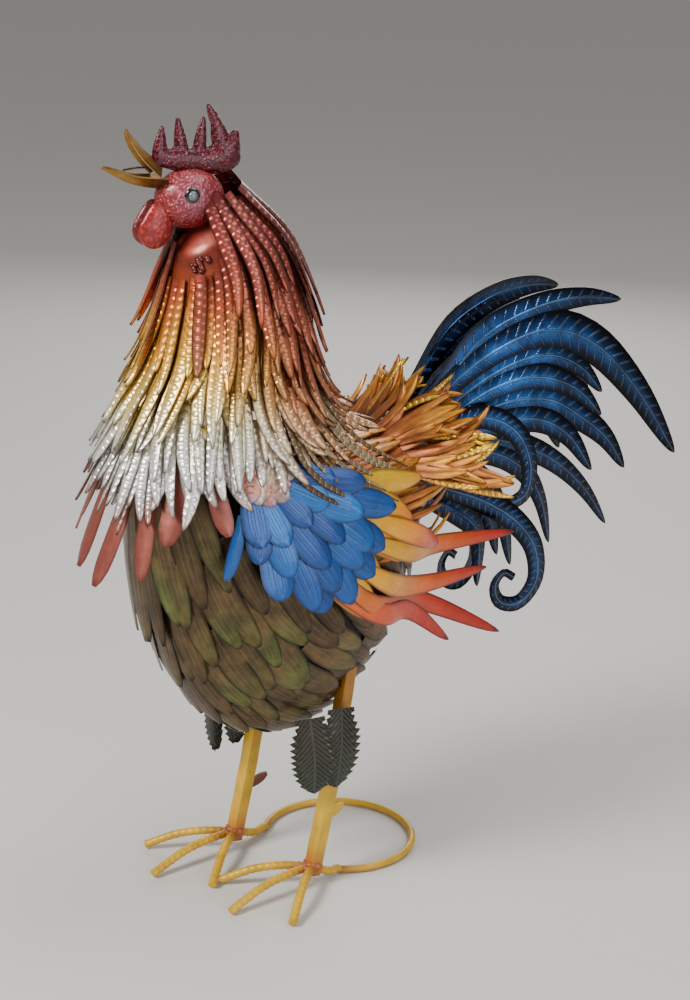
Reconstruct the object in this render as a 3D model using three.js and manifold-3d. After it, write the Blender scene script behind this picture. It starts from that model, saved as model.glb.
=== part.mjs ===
// A standing garden rooster made of cut, pressed and welded sheet steel.
// Millimetres, +Z up. The bird looks along -Y with its head turned a little to its right,
// its left side is +X and its tail runs out along +Y. It stands on three rods a foot and on
// a hoop behind, all of them flat on Z = 0.

import * as THREE from "three";
import { mergeVertices } from "three/addons/utils/BufferGeometryUtils.js";
import Module from "manifold-3d";

const wasm = await Module();
wasm.setup();

// ---------------------------------------------------------------------------------------
// Driving dimensions
// ---------------------------------------------------------------------------------------

const GAP = 0.3; // air left between two pieces that are welded together

const BODY = {
  centreZ: 358, // widest level of the lower egg
  halfWidth: 77,
  halfLength: 138,
  depth: 220, // from the widest level down to where the egg's point would be
  backZ: 345, // where the egg turns over into the flatter back
  backRise: 30, // how far the back stands above that
};

const NECK = {
  length: 245, // along the feathers, from the head to the lowest tips
  front: [[-99, 552], [-104, 520], [-110, 490], [-120, 452], [-137, 415], [-151, 375], [-164, 335]],
  back: [[-50, 587], [-14, 546], [2, 495], [8, 455], [20, 420], [42, 399], [68, 387]],
  halfWidths: [21, 40, 47, 56, 68, 83, 96],
  coreEnd: 160, // where the solid neck stops and the feathers hang free
  coreTaper: 0.55, // the solid neck narrows by this share on its way into the body
  coreDrop: 55, // over this many mm
};

const HEAD = {
  pivotY: -75, // the head turns about this upright line
  turn: 16, // degrees to the bird's right
  centre: [15, 578], // forward of the pivot, and height
  halfLength: 27,
  halfHeight: 22.5,
  halfWidth: 19,
};

const EYE = { forward: 16, height: 581, radius: 5.5, side: 16.5 };

const COMB = {
  thickness: 5,
  bulge: 2.6,
  bulgeInset: 1.8,
  outline: [
    [36, 602], [44, 608], [44, 618], [36, 632], [29.5, 615], [27, 637], [20, 636], [13, 627],
    [7, 638], [2, 636], [-1, 621], [-0.5, 643], [3, 648], [-6, 646], [-15, 630], [-20, 628],
    [-28, 620], [-26, 606], [-14, 594], [-5, 592], [4, 600], [20, 602],
  ],
};

const BEAK = {
  rootForward: 35,
  rootHeight: 594,
  opening: 3, // between the two halves at the root
  fold: 9, // how far each half's keel stands from its edges
  halfWidth: 11,
  plate: 1.6,
  upperTip: [62, 629],
  lowerTip: [79, 604],
};

const TONGUE = { from: 40, to: 66, height: 601.5, halfWidth: 2.2, thickness: 1.2, point: 6 };

const WATTLE = { forward: 41, height: 558, halfLength: 12, halfHeight: 17, halfWidth: 4, side: 6.5 };

const FEATHER = {
  plate: 1.1, // sheet thickness where a strip is still whole
  rib: 2.0, // height of the pressed rib above the sheet's inner face
  wander: 0.11, // how far a tip strays sideways, as a share of the spacing
};

const HACKLE_ROWS = [
  { start: 2, length: 70, teeth: 10, from: 58, to: 346, closed: false },
  { start: 34, length: 80, teeth: 12, from: 52, to: 350, closed: false },
  { start: 68, length: 84, teeth: 16, from: 0, to: 360, closed: true },
  { start: 100, length: 84, teeth: 18, from: 0, to: 360, closed: true },
  { start: 131, length: 82, teeth: 20, from: 0, to: 360, closed: true },
  { start: 160, length: 82, teeth: 22, from: 0, to: 360, closed: true },
];
const HACKLE_LIFT = 2.2; // mm off the neck at the top edge of a strip
const HACKLE_RISE = 0.12; // mm further off for each mm along a feather

const VENT = { y: 0.76, z: -0.65 }; // where the body feathers run together, as a direction
const BODY_ARC = 150; // nominal mm along the egg for one radian
const BODY_ROWS = { count: 8, firstAngle: 131, step: 14.2, toothWidth: 23.5, length: 64 };
const BODY_LIFT = 2.6;
const BODY_RISE = 0.12;
const BODY_TOP_Z = 343; // the strips stop here, under the wings and the saddle
const BODY_TOP_FALL = 0.42; // and lower towards the tail, by this share of the way back
const BODY_ROOM = { wing: 87, breast: 8 }; // kept clear round the wing's shoulder, and in front

const WING = {
  shoulder: [-88, 386],
  standOff: 10, // off the body at the shoulder
  spread: 12, // further off at the tips
  reach: 132,
  from: 12,
  to: 100,
  rows: [
    { start: 4, length: 62, teeth: 3 },
    { start: 38, length: 66, teeth: 5 },
    { start: 70, length: 68, teeth: 6 },
  ],
  rise: 0.12,
};

const QUILL = { offBodyRoot: 19, offBodyTip: 26, width: 7, thickness: 2.6, segments: 4 };
const QUILL_PATHS = [
  { root: 27, through: [[66, 310], [132, 277]] },
  { root: 36, through: [[60, 296], [132, 278], [222, 271]] },
  { root: 45, through: [[36, 276], [99, 252], [190, 245]] },
  { root: 53, through: [[26, 258], [102, 236], [210, 181]] },
  { root: 60, through: [[40, 246], [92, 230], [148, 188]] },
];
const QUILL_ROOT = { reach: 110, angles: [22, 44, 66] }; // the strip that the quills share

const SADDLE = {
  startY: 82,
  halfWidth: 60,
  reach: 84, // degrees either way round from the middle of the back
  flare: 0.36,
  risingAngle: 27, // middle strips climb, side strips fall
  fallingAngle: -22,
  rows: [
    { start: 0, length: 76, teeth: 9, middle: 0.9 },
    { start: 24, length: 94, teeth: 9, middle: 0.6 },
  ],
  rise: 0.13,
};

const TAIL = {
  hingeY: 125, // the plates stand a little apart here
  halfGap: 12,
  splay: { left: 10, right: 3 }, // degrees each plate turns outwards
  curlOut: [8, 12.5], // the upper and lower curled sickles stand this far outside the plates
  plate: 2.4,
  rib: 3.8,
  levels: [0, 0.2, 0.38, 0.56, 0.72, 0.88],
  taper: [0.5, 0.9, 1, 1, 0.86, 0.5], // relative half width at each level
  notch: 3, // the feathers part below this level
  halfWidth: 9,
};
const FAN_PATHS = [
  [[118, 352], [163, 403], [201, 441], [257, 462], [304, 466], [343, 461]],
  [[120, 350], [168, 402], [220, 431], [268, 441], [315, 425], [367, 378], [417, 312]],
  [[122, 346], [182, 392], [232, 414], [271, 418], [304, 404], [329, 379]],
  [[124, 342], [165, 372], [213, 395], [258, 400], [300, 385], [329, 358]],
  [[126, 338], [175, 362], [225, 380], [272, 378], [307, 359], [338, 335], [360, 305]],
  [[128, 334], [175, 352], [224, 364], [264, 361], [295, 343], [322, 308]],
];
const INNER_PATHS = [
  [[124, 340], [216, 343], [289, 323], [335, 299], [376, 265], [406, 228]],
  [[126, 334], [200, 333], [254, 322], [292, 298], [313, 269], [327, 225]],
  [[128, 328], [190, 321], [236, 301], [262, 265], [276, 214]],
  [[130, 322], [181, 308], [222, 288], [246, 262], [257, 228]],
  [[132, 316], [173, 295], [208, 276], [230, 255], [233, 203]],
];
const UPPER_CURL = [
  [120, 352], [160, 366], [199, 372], [234, 354], [250, 322], [246, 297], [226, 291], [211, 304], [214, 320],
];
const LOWER_CURL = [
  [128, 328], [165, 313], [198, 299], [233, 276], [256, 247], [259, 216], [242, 198], [221, 203],
  [215, 219], [224, 229], [235, 223],
];
const CURL = { halfWidth: 10.5, thickness: 3, segments: 16 };

const LEG = {
  x: 45,
  ankleY: [6, -6], // left, right
  width: 13,
  points: [[0, 9], [19, 95], [34, 190]], // how far back of the ankle, and height
};

const SPUR = { height: 56, length: 19, width: 8, thickness: 2.4 };

const TOE = {
  radius: 3.8,
  sides: 6,
  ankleZ: 19,
  tipZ: 2.3,
  bend: 0.62, // share of the toe that is nearly level before it dips to the floor
  angles: [-38, 0, 38],
  lengths: [76, 86, 75],
  steps: 4,
};

const RING = { centreX: -4, centreY: 79, radius: 65, rod: 3.4, sides: 6, steps: 24, mouth: 98 };

const LEAF = {
  length: 68,
  halfWidth: 17,
  notches: 3,
  cut: 5,
  thickness: 1.8,
  top: 158,
  out: 13, // how far out of the leg's middle the leaves hang
  spread: 18, // half the distance between the two leaves' midribs
  turn: 20, // degrees each leaf turns round the leg
  lean: 9, // degrees the two tips lean towards each other
};

const COLOURS = {
  body: { color: 0x4d4130, roughness: 0.5, metalness: 0.55 },
  neck: { color: 0xd98a4a, roughness: 0.4, metalness: 0.5 },
  face: { color: 0xb2504b, roughness: 0.45, metalness: 0.3 },
  comb: { color: 0x7a2138, roughness: 0.35, metalness: 0.4 },
  beak: { color: 0xb98a35, roughness: 0.35, metalness: 0.7 },
  eye: { color: 0x16181c, roughness: 0.1, metalness: 0.2 },
  wing: { color: 0x1f66b8, roughness: 0.4, metalness: 0.45 },
  quill: { color: 0xe07a24, roughness: 0.4, metalness: 0.45 },
  saddle: { color: 0xb87333, roughness: 0.35, metalness: 0.7 },
  tail: { color: 0x274a73, roughness: 0.3, metalness: 0.8 },
  leaf: { color: 0x3b3d2b, roughness: 0.3, metalness: 0.7 },
  foot: { color: 0xd9b52a, roughness: 0.45, metalness: 0.2 },
};
const HACKLE_COLOURS = [0xa4513a, 0xc46a45, 0xd9a04a, 0xe6dcc0, 0xd8d6d2, 0xc99c90];

// ---------------------------------------------------------------------------------------
// Small helpers
// ---------------------------------------------------------------------------------------

const { degToRad, lerp, clamp } = THREE.MathUtils;
const vec = (x, y, z) => new THREE.Vector3(x, y, z);

/** A repeatable scatter between -1 and 1 for feather number `index` of strip `row`. */
function scatter(row, index) {
  const wave = Math.sin(index * 12.9898 + row * 78.233) * 43758.5453;
  return 2 * (wave - Math.floor(wave)) - 1;
}

/** Six times the signed volume of an indexed triangle mesh. */
function signedVolume(points, faces) {
  const cross = new THREE.Vector3();
  return faces.reduce((sum, [a, b, c]) => sum + points[a].dot(cross.crossVectors(points[b], points[c])), 0);
}

/** Points and triangles as a geometry whose faces point outwards. */
function closedGeometry(points, faces) {
  const outward = signedVolume(points, faces) > 0;
  const index = faces.flatMap(([a, b, c]) => (outward ? [a, b, c] : [a, c, b]));
  const geometry = new THREE.BufferGeometry().setFromPoints(points);
  geometry.setIndex(index);
  return geometry;
}

/** A closed geometry as a solid that can be joined and cut. */
function toSolid(geometry) {
  const bare = geometry.clone();
  bare.deleteAttribute("normal");
  bare.deleteAttribute("uv");
  const merged = mergeVertices(bare, 1e-4);
  const triVerts = new Uint32Array(merged.index.array);
  const vertProperties = new Float32Array(merged.attributes.position.array);
  return new wasm.Manifold(new wasm.Mesh({ numProp: 3, vertProperties, triVerts }));
}

/** The largest closed body of a solid, as a geometry. */
function fromSolid(solid) {
  const bodies = solid.decompose().sort((a, b) => b.volume() - a.volume());
  const mesh = bodies[0].getMesh();
  const geometry = new THREE.BufferGeometry();
  geometry.setAttribute("position", new THREE.BufferAttribute(new Float32Array(mesh.vertProperties), 3));
  geometry.setIndex(new THREE.BufferAttribute(new Uint32Array(mesh.triVerts), 1));
  return geometry;
}

/** One geometry with others cut out of it. */
function cut(geometry, ...tools) {
  const solid = tools.reduce((rest, tool) => rest.subtract(toSolid(tool)), toSolid(geometry));
  return fromSolid(solid);
}

/** Several overlapping geometries fused into one. */
function fuse(...geometries) {
  return fromSolid(geometries.map(toSolid).reduce((all, next) => all.add(next)));
}

/** A named mesh with its own material. */
function piece(name, geometry, finish) {
  const mesh = new THREE.Mesh(geometry, new THREE.MeshStandardMaterial(finish));
  mesh.name = name;
  return mesh;
}

/** A smooth curve through points in the upright fore-and-aft plane. */
function sideCurve(points) {
  return new THREE.CatmullRomCurve3(points.map(([y, z]) => vec(0, y, z)), false, "centripetal");
}

/** The same geometry on the other side of the bird. */
function mirrored(geometry) {
  const copy = geometry.clone().scale(-1, 1, 1);
  const index = copy.index.array;
  for (let i = 0; i < index.length; i += 3) {
    [index[i + 1], index[i + 2]] = [index[i + 2], index[i + 1]];
  }
  return copy;
}

// ---------------------------------------------------------------------------------------
// Comb-cut strips: a sheet whose lower edge is slit into feathers, each with a pressed rib
// ---------------------------------------------------------------------------------------

/**
 * A strip of `teeth` feathers as one closed mesh. Level 0 is its top edge, the feathers part
 * below level `notch`, and level `last` is the last one before the tips. `edge(k, level)`
 * gives the outer and inner point between two feathers above the slits, `side(i, level, hand)`
 * a feather's thin left or right edge below them, `ridge(i, level)` its rib, `tip(i)` its tip.
 */
function combStrip({ teeth, closed, notch, last, edge, side, ridge, tip }) {
  const points = [];
  const faces = [];
  const add = (point) => points.push(point) - 1;
  const quad = (a, b, c, d) => faces.push([a, b, c], [a, c, d]);
  const range = (from, to) => Array.from({ length: to - from + 1 }, (_, n) => from + n);

  const seams = range(0, closed ? teeth - 1 : teeth).map((k) =>
    range(0, notch).map((level) => {
      const { outer, inner } = edge(k, level);
      return { outer: add(outer), inner: add(inner) };
    }),
  );

  const addTooth = (i) => {
    const free = (hand) =>
      range(notch + 1, last).map((level) => {
        const index = add(side(i, level, hand));
        return { outer: index, inner: index };
      });
    const left = [...seams[i], ...free(-1)];
    const right = [...seams[(i + 1) % seams.length], ...free(1)];
    const rib = [null, ...range(1, last).map((level) => add(ridge(i, level)))];
    const end = add(tip(i));

    faces.push([left[0].outer, left[1].outer, rib[1]]);
    faces.push([left[0].outer, rib[1], right[0].outer]);
    faces.push([right[0].outer, rib[1], right[1].outer]);
    for (let level = 1; level < last; level++) {
      quad(left[level].outer, left[level + 1].outer, rib[level + 1], rib[level]);
      quad(rib[level], rib[level + 1], right[level + 1].outer, right[level].outer);
    }
    faces.push([left[last].outer, end, rib[last]], [rib[last], end, right[last].outer]);

    for (let level = 0; level < last; level++) {
      quad(left[level].inner, right[level].inner, right[level + 1].inner, left[level + 1].inner);
    }
    faces.push([left[last].inner, right[last].inner, end]);

    faces.push([left[notch].inner, left[notch + 1].outer, left[notch].outer]);
    faces.push([right[notch].outer, right[notch + 1].outer, right[notch].inner]);
    quad(left[0].outer, right[0].outer, right[0].inner, left[0].inner);
  };
  range(0, teeth - 1).forEach(addTooth);

  if (!closed) {
    for (let level = 0; level < notch; level++) {
      const first = seams[0];
      const final = seams[teeth];
      quad(first[level + 1].outer, first[level].outer, first[level].inner, first[level + 1].inner);
      quad(final[level].outer, final[level + 1].outer, final[level + 1].inner, final[level].inner);
    }
  }
  return closedGeometry(points, faces);
}

/** Relative widths of a feather below the slit: pointed hackles and rounded body feathers. */
const POINTED = { widths: [0.82], shares: [0.62] };
const ROUNDED = { widths: [0.92, 0.74], shares: [0.55, 0.88] };

/**
 * A comb-cut strip laid on a curved surface. `surface(angle, distance, lift)` gives a point;
 * the strip starts at distance `start`, and its feathers rise off the surface towards their
 * tips, so that the next strip can start underneath them.
 */
function stripOn(surface, spec) {
  const { start, length, teeth, from, to, closed, lift, rise, shape, row } = spec;
  const stretch = spec.stretch ?? (() => 1);
  const slit = spec.slit ?? 0.22;
  const shares = [0, slit, ...shape.shares];
  const widths = [1, 1, ...shape.widths];
  const pitch = degToRad(to - from) / teeth;
  const angleOf = (k) => degToRad(from) + pitch * k;
  const notch = 1;
  const last = shares.length - 1;

  const at = (angle, share, factor, extra) => {
    const distance = length * share * factor;
    return surface(angle, start + distance, lift + rise * distance + extra);
  };
  const centre = (i, share) => angleOf(i + 0.5) + FEATHER.wander * pitch * scatter(row, i) * share * share;
  const factor = (i) => stretch(angleOf(i + 0.5)) * (1 + 0.07 * scatter(row + 0.5, i));
  const factorAt = (i, level) => (level <= notch ? 1 : factor(i));

  return combStrip({
    teeth,
    closed,
    notch,
    last,
    edge: (k, level) => ({
      outer: at(angleOf(k), shares[level], 1, FEATHER.plate),
      inner: at(angleOf(k), shares[level], 1, 0),
    }),
    side: (i, level, hand) => {
      const angle = centre(i, shares[level]) + hand * 0.5 * pitch * widths[level];
      return at(angle, shares[level], factorAt(i, level), 0.2);
    },
    ridge: (i, level) => at(centre(i, shares[level]), shares[level], factorAt(i, level), FEATHER.rib),
    tip: (i) => at(centre(i, 1), 1, factor(i), 0.3),
  });
}

// ---------------------------------------------------------------------------------------
// Surfaces that the strips lie on
// ---------------------------------------------------------------------------------------

const neckFront = sideCurve(NECK.front);
const neckBack = sideCurve(NECK.back);

/** The neck's half width at share `v` of its length, eased between the named ones. */
function neckHalfWidth(v) {
  const place = clamp(v, 0, 1) * (NECK.halfWidths.length - 1);
  const index = Math.min(Math.floor(place), NECK.halfWidths.length - 2);
  return lerp(NECK.halfWidths[index], NECK.halfWidths[index + 1], place - index);
}

/** A point of the neck's leaning oval rings. Angle 0 is the throat, 90 degrees the left side. */
function neckRing(angle, distance) {
  const v = clamp(distance / NECK.length, 0, 1);
  const front = neckFront.getPointAt(v);
  const back = neckBack.getPointAt(v);
  const middle = front.clone().lerp(back, 0.5);
  const half = front.clone().sub(middle);
  return middle.addScaledVector(half, Math.cos(angle)).add(vec(neckHalfWidth(v) * Math.sin(angle), 0, 0));
}

/** A surface point pushed out along its normal, found from two small steps. */
function lifted(surface, angle, distance, lift, outside) {
  const step = 0.01;
  const point = surface(angle, distance);
  const around = surface(angle + step, distance).sub(surface(angle - step, distance));
  const along = surface(angle, distance + 1).sub(surface(angle, distance - 1));
  const normal = around.cross(along).normalize();
  if (normal.dot(outside(point)) < 0) normal.negate();
  return point.addScaledVector(normal, lift);
}

function neckSurface(angle, distance, lift) {
  const reach = Math.min(distance, NECK.length - 1.5);
  const overshoot = distance - reach;
  const outside = (point) => vec(point.x, point.y + 60, 20);
  const point = lifted(neckRing, angle, reach, lift, outside);
  const below = lifted(neckRing, angle, reach - 4, lift, outside);
  return point.addScaledVector(point.clone().sub(below).normalize(), overshoot);
}

/** A point of the egg, from a direction of the unit sphere. */
function eggPoint(direction) {
  const { x, y, z } = direction;
  return vec(x * BODY.halfWidth, y * BODY.halfLength, BODY.centreZ + z * BODY.depth);
}

/** Directions round the vent: angle 0 is the breast's middle line, distance runs to the vent. */
function ventDirection(angle, fromVent) {
  const vent = vec(0, VENT.y, VENT.z).normalize();
  const breast = vec(0, vent.z, -vent.y);
  return vent
    .multiplyScalar(Math.cos(fromVent))
    .addScaledVector(breast, Math.sin(fromVent) * Math.cos(angle))
    .add(vec(Math.sin(fromVent) * Math.sin(angle), 0, 0));
}

function breastRing(angle, distance) {
  return eggPoint(ventDirection(angle, degToRad(BODY_ROWS.firstAngle) - distance / BODY_ARC));
}

function breastSurface(angle, distance, lift) {
  const outside = (point) => vec(point.x, point.y, point.z - BODY.centreZ);
  return lifted(breastRing, angle, distance, lift, outside);
}

/** How far the body stands out sideways at a place along the flank. */
function flankX(y, z) {
  const up = (z - BODY.centreZ) / BODY.depth;
  const along = y / BODY.halfLength;
  return BODY.halfWidth * Math.sqrt(Math.max(0.12, 1 - up * up - along * along));
}

/** The left wing's shallow shield: angles below the horizontal, distances from the shoulder. */
function wingSurface(angle, distance, lift) {
  const steep = THREE.MathUtils.smoothstep(THREE.MathUtils.radToDeg(angle), 60, 100);
  const reach = distance * (1 - 0.24 * steep);
  const y = WING.shoulder[0] + reach * Math.cos(angle);
  const z = WING.shoulder[1] - reach * Math.sin(angle);
  const off = WING.standOff + (WING.spread * distance) / WING.reach;
  return vec(flankX(y, z) + off + lift, y, z);
}

/** The fan of strips over the tail's root: angle 0 is the middle of the back. */
function saddleSurface(angle, distance, lift) {
  const sideways = Math.sin(angle);
  const x = SADDLE.halfWidth * sideways;
  const share = 1 - (x / BODY.halfWidth) ** 2 - (SADDLE.startY / BODY.halfLength) ** 2;
  const z = BODY.backZ + BODY.backRise * Math.sqrt(Math.max(share, 0));
  const tilt = degToRad(lerp(SADDLE.risingAngle, SADDLE.fallingAngle, sideways * sideways));
  const along = vec(SADDLE.flare * sideways, Math.cos(tilt), Math.sin(tilt)).normalize();
  const up = vec(0.9 * sideways, -Math.sin(tilt), Math.cos(tilt)).normalize();
  return vec(x, SADDLE.startY, z).addScaledVector(along, distance).addScaledVector(up, lift);
}

// ---------------------------------------------------------------------------------------
// Body and neck
// ---------------------------------------------------------------------------------------

/** The body as a lathed egg squeezed sideways, `grow` mm larger all round. */
function bodyEgg(grow = 0) {
  const sides = 20;
  const lowerSteps = 8;
  const upperSteps = 3;
  const turnOver = Math.acos((BODY.centreZ - BODY.backZ) / BODY.depth);
  const profile = [];
  for (let i = 0; i <= lowerSteps; i++) {
    const angle = (turnOver * i) / lowerSteps;
    const radius = (BODY.halfLength + grow) * Math.sin(angle);
    profile.push(new THREE.Vector2(radius, BODY.centreZ - (BODY.depth + grow) * Math.cos(angle)));
  }
  for (let i = 1; i <= upperSteps; i++) {
    const angle = (0.5 * Math.PI * i) / upperSteps;
    const radius = i === upperSteps ? 0 : (BODY.halfLength + grow) * Math.cos(angle);
    profile.push(new THREE.Vector2(radius, BODY.backZ + (BODY.backRise + grow) * Math.sin(angle)));
  }
  profile[0].x = 0;
  const squeeze = (BODY.halfWidth + grow) / (BODY.halfLength + grow);
  return new THREE.LatheGeometry(profile, sides).rotateX(0.5 * Math.PI).scale(squeeze, 1, 1);
}

/** A closed solid through a stack of rings, each the same number of points. */
function loft(rings) {
  const around = rings[0].length;
  const points = rings.flat();
  const faces = [];
  for (let row = 0; row + 1 < rings.length; row++) {
    for (let i = 0; i < around; i++) {
      const next = (i + 1) % around;
      const [a, b] = [row * around + i, row * around + next];
      faces.push([a, b, b + around], [a, b + around, a + around]);
    }
  }
  const capCentre = (ring) => ring.reduce((sum, p) => sum.add(p), vec(0, 0, 0)).divideScalar(around);
  const first = points.push(capCentre(rings[0])) - 1;
  const final = points.push(capCentre(rings.at(-1))) - 1;
  const lastRow = (rings.length - 1) * around;
  for (let i = 0; i < around; i++) {
    const next = (i + 1) % around;
    faces.push([first, next, i], [final, lastRow + i, lastRow + next]);
  }
  return closedGeometry(points, faces);
}

function neckCore() {
  const sides = 18;
  const steps = 5;
  const ring = (distance, shrink, drop) =>
    Array.from({ length: sides }, (_, i) => {
      const angle = (2 * Math.PI * i) / sides;
      const point = neckRing(angle, distance);
      const centre = neckRing(0, distance).lerp(neckRing(Math.PI, distance), 0.5);
      return point.lerp(centre, shrink).add(vec(0, 0, -drop));
    });
  const rings = Array.from({ length: steps + 1 }, (_, n) => ring((NECK.coreEnd * n) / steps, 0.01, 0));
  rings.push(ring(NECK.coreEnd, NECK.coreTaper, NECK.coreDrop));
  return cut(loft(rings), bodyEgg(GAP), headEggInBird(GAP));
}

// ---------------------------------------------------------------------------------------
// Head. Its pieces are modelled facing +X with the bird's left at +Y, then turned as a group
// ---------------------------------------------------------------------------------------

function headEgg(grow = 0) {
  const [forward, height] = HEAD.centre;
  return new THREE.SphereGeometry(1, 12, 8)
    .rotateX(0.5 * Math.PI)
    .scale(HEAD.halfLength + grow, HEAD.halfWidth + grow, HEAD.halfHeight + grow)
    .translate(forward, 0, height);
}

const headTurn = -degToRad(90 + HEAD.turn);

function headEggInBird(grow) {
  return headEgg(grow).rotateZ(headTurn).translate(0, HEAD.pivotY, 0);
}

function eyeBall(hand, grow = 0) {
  const ball = new THREE.SphereGeometry(EYE.radius + grow, 8, 6);
  return ball.translate(EYE.forward, hand * EYE.side, EYE.height);
}

/** The comb's puffed plate in the head's middle plane, `grow` mm larger all round. */
function combPlate(grow = 0) {
  const outline = new THREE.Shape(COMB.outline.map(([s, z]) => new THREE.Vector2(s, z)));
  const depth = COMB.thickness + 2 * grow;
  const slab = new THREE.ExtrudeGeometry(outline, {
    depth,
    bevelThickness: COMB.bulge,
    bevelSize: COMB.bulgeInset,
    bevelOffset: grow - COMB.bulgeInset,
    bevelSegments: 1,
  });
  return slab.translate(0, 0, -0.5 * depth).rotateX(0.5 * Math.PI);
}

/** One half of the open beak: a narrow plate folded along its keel, `way` 1 up or -1 down. */
function beakHalf(tip, way) {
  const { rootForward, rootHeight, opening, fold, halfWidth, plate } = BEAK;
  const low = rootHeight + way * 0.5 * opening;
  const throughPlate = plate * Math.hypot(fold, halfWidth) / halfWidth;
  const root = (inset) => [
    vec(rootForward, inset - halfWidth, low),
    vec(rootForward, 0, low + way * (fold - (inset * throughPlate) / plate)),
    vec(rootForward, halfWidth - inset, low),
  ];
  const points = [vec(tip[0], 0, tip[1]), ...root(0), ...root(plate)];
  const faces = [
    [0, 1, 2], [0, 2, 3], [0, 5, 4], [0, 6, 5], [0, 4, 1], [0, 3, 6],
    [1, 4, 5], [1, 5, 2], [2, 5, 6], [2, 6, 3],
  ];
  return cut(closedGeometry(points, faces), headEgg(GAP), combPlate(GAP));
}

/** The tongue: a short flat strip with a pointed end. */
function tongue() {
  const { from, to, height, halfWidth, thickness, point } = TONGUE;
  const outline = new THREE.Shape([
    new THREE.Vector2(from, -halfWidth),
    new THREE.Vector2(to - point, -halfWidth),
    new THREE.Vector2(to, 0),
    new THREE.Vector2(to - point, halfWidth),
    new THREE.Vector2(from, halfWidth),
  ]);
  const strip = new THREE.ExtrudeGeometry(outline, { depth: thickness, bevelEnabled: false });
  const beak = [beakHalf(BEAK.upperTip, 1), beakHalf(BEAK.lowerTip, -1)];
  return cut(strip.translate(0, 0, height - 0.5 * thickness), ...beak, headEgg(GAP), combPlate(GAP));
}

function wattle(hand) {
  const lobe = new THREE.SphereGeometry(1, 8, 6)
    .rotateX(0.5 * Math.PI)
    .scale(WATTLE.halfLength, WATTLE.halfWidth, WATTLE.halfHeight)
    .translate(WATTLE.forward, hand * WATTLE.side, WATTLE.height);
  return cut(lobe, headEgg(GAP), beakHalf(BEAK.lowerTip, -1));
}

function headGroup() {
  const group = new THREE.Group();
  group.position.set(0, HEAD.pivotY, 0);
  group.rotation.z = headTurn;
  group.add(piece("head", cut(headEgg(), eyeBall(1, GAP), eyeBall(-1, GAP)), COLOURS.face));
  group.add(piece("eye_left", eyeBall(1), COLOURS.eye));
  group.add(piece("eye_right", eyeBall(-1), COLOURS.eye));
  group.add(piece("comb", cut(combPlate(), headEgg(GAP)), COLOURS.comb));
  group.add(piece("beak_upper", beakHalf(BEAK.upperTip, 1), COLOURS.beak));
  group.add(piece("beak_lower", beakHalf(BEAK.lowerTip, -1), COLOURS.beak));
  group.add(piece("tongue", tongue(), COLOURS.eye));
  group.add(piece("wattle_left", wattle(1), COLOURS.face));
  group.add(piece("wattle_right", wattle(-1), COLOURS.face));
  return group;
}

// ---------------------------------------------------------------------------------------
// Feather strips
// ---------------------------------------------------------------------------------------

function hackleRows() {
  return HACKLE_ROWS.map((spec, row) => {
    const geometry = stripOn(neckSurface, {
      ...spec,
      row,
      lift: HACKLE_LIFT,
      rise: HACKLE_RISE,
      shape: POINTED,
    });
    const finish = { color: HACKLE_COLOURS[row], roughness: 0.35, metalness: 0.7 };
    return piece(`hackle_row_${row + 1}`, geometry, finish);
  });
}

/** How far round a body strip may run before it meets the wing or the back. */
function bodyArc(distance) {
  const [shoulderY, shoulderZ] = WING.shoulder;
  const open = (angle) => {
    const point = breastRing(angle, distance);
    const clearOfWing = Math.hypot(point.y - shoulderY, point.z - shoulderZ) > BODY_ROOM.wing;
    const top = BODY_TOP_Z - BODY_TOP_FALL * Math.max(0, point.y);
    return point.z < top && (clearOfWing || point.y < shoulderY - BODY_ROOM.breast);
  };
  const step = degToRad(2);
  let angle = 0;
  while (angle < Math.PI && open(angle + step)) angle += step;
  return THREE.MathUtils.radToDeg(Math.min(angle, Math.PI));
}

function bodyRows(cutters) {
  const rows = Array.from({ length: BODY_ROWS.count }, (_, row) => row);
  return rows.map((row) => {
    const start = degToRad(BODY_ROWS.step * row) * BODY_ARC;
    const reach = bodyArc(start + 8);
    const closed = reach > 176;
    const girth = breastRing(0, start).distanceTo(breastRing(0.05, start)) / 0.05;
    const teeth = Math.max(7, Math.round((2 * degToRad(reach) * Math.max(girth, 50)) / BODY_ROWS.toothWidth));
    const geometry = stripOn(breastSurface, {
      start,
      length: row === BODY_ROWS.count - 1 ? 0.6 * BODY_ROWS.length : BODY_ROWS.length,
      teeth,
      from: closed ? 0 : -reach,
      to: closed ? 360 : reach,
      closed,
      row: row + 20,
      lift: BODY_LIFT,
      rise: BODY_RISE,
      shape: ROUNDED,
    });
    return piece(`body_row_${row + 1}`, cut(geometry, ...cutters), COLOURS.body);
  });
}

function wingRows() {
  return WING.rows.flatMap((spec, row) => {
    const geometry = stripOn(wingSurface, {
      ...spec,
      from: WING.from,
      to: WING.to,
      closed: false,
      row: row + 40,
      lift: 0,
      rise: WING.rise,
      shape: ROUNDED,
      slit: 0.3,
    });
    return [
      piece(`wing_left_row_${row + 1}`, geometry, COLOURS.wing),
      piece(`wing_right_row_${row + 1}`, mirrored(geometry), COLOURS.wing),
    ];
  });
}

function saddleRows() {
  return SADDLE.rows.map((spec, row) => {
    const geometry = stripOn(saddleSurface, {
      ...spec,
      from: -SADDLE.reach,
      to: SADDLE.reach,
      closed: false,
      row: row + 50,
      lift: 3,
      rise: SADDLE.rise,
      shape: POINTED,
      stretch: (angle) => lerp(spec.middle, 1, Math.abs(Math.sin(angle))),
    });
    return piece(`saddle_row_${row + 1}`, geometry, COLOURS.saddle);
  });
}

// ---------------------------------------------------------------------------------------
// Blades: long single feathers with a lozenge section
// ---------------------------------------------------------------------------------------

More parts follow.
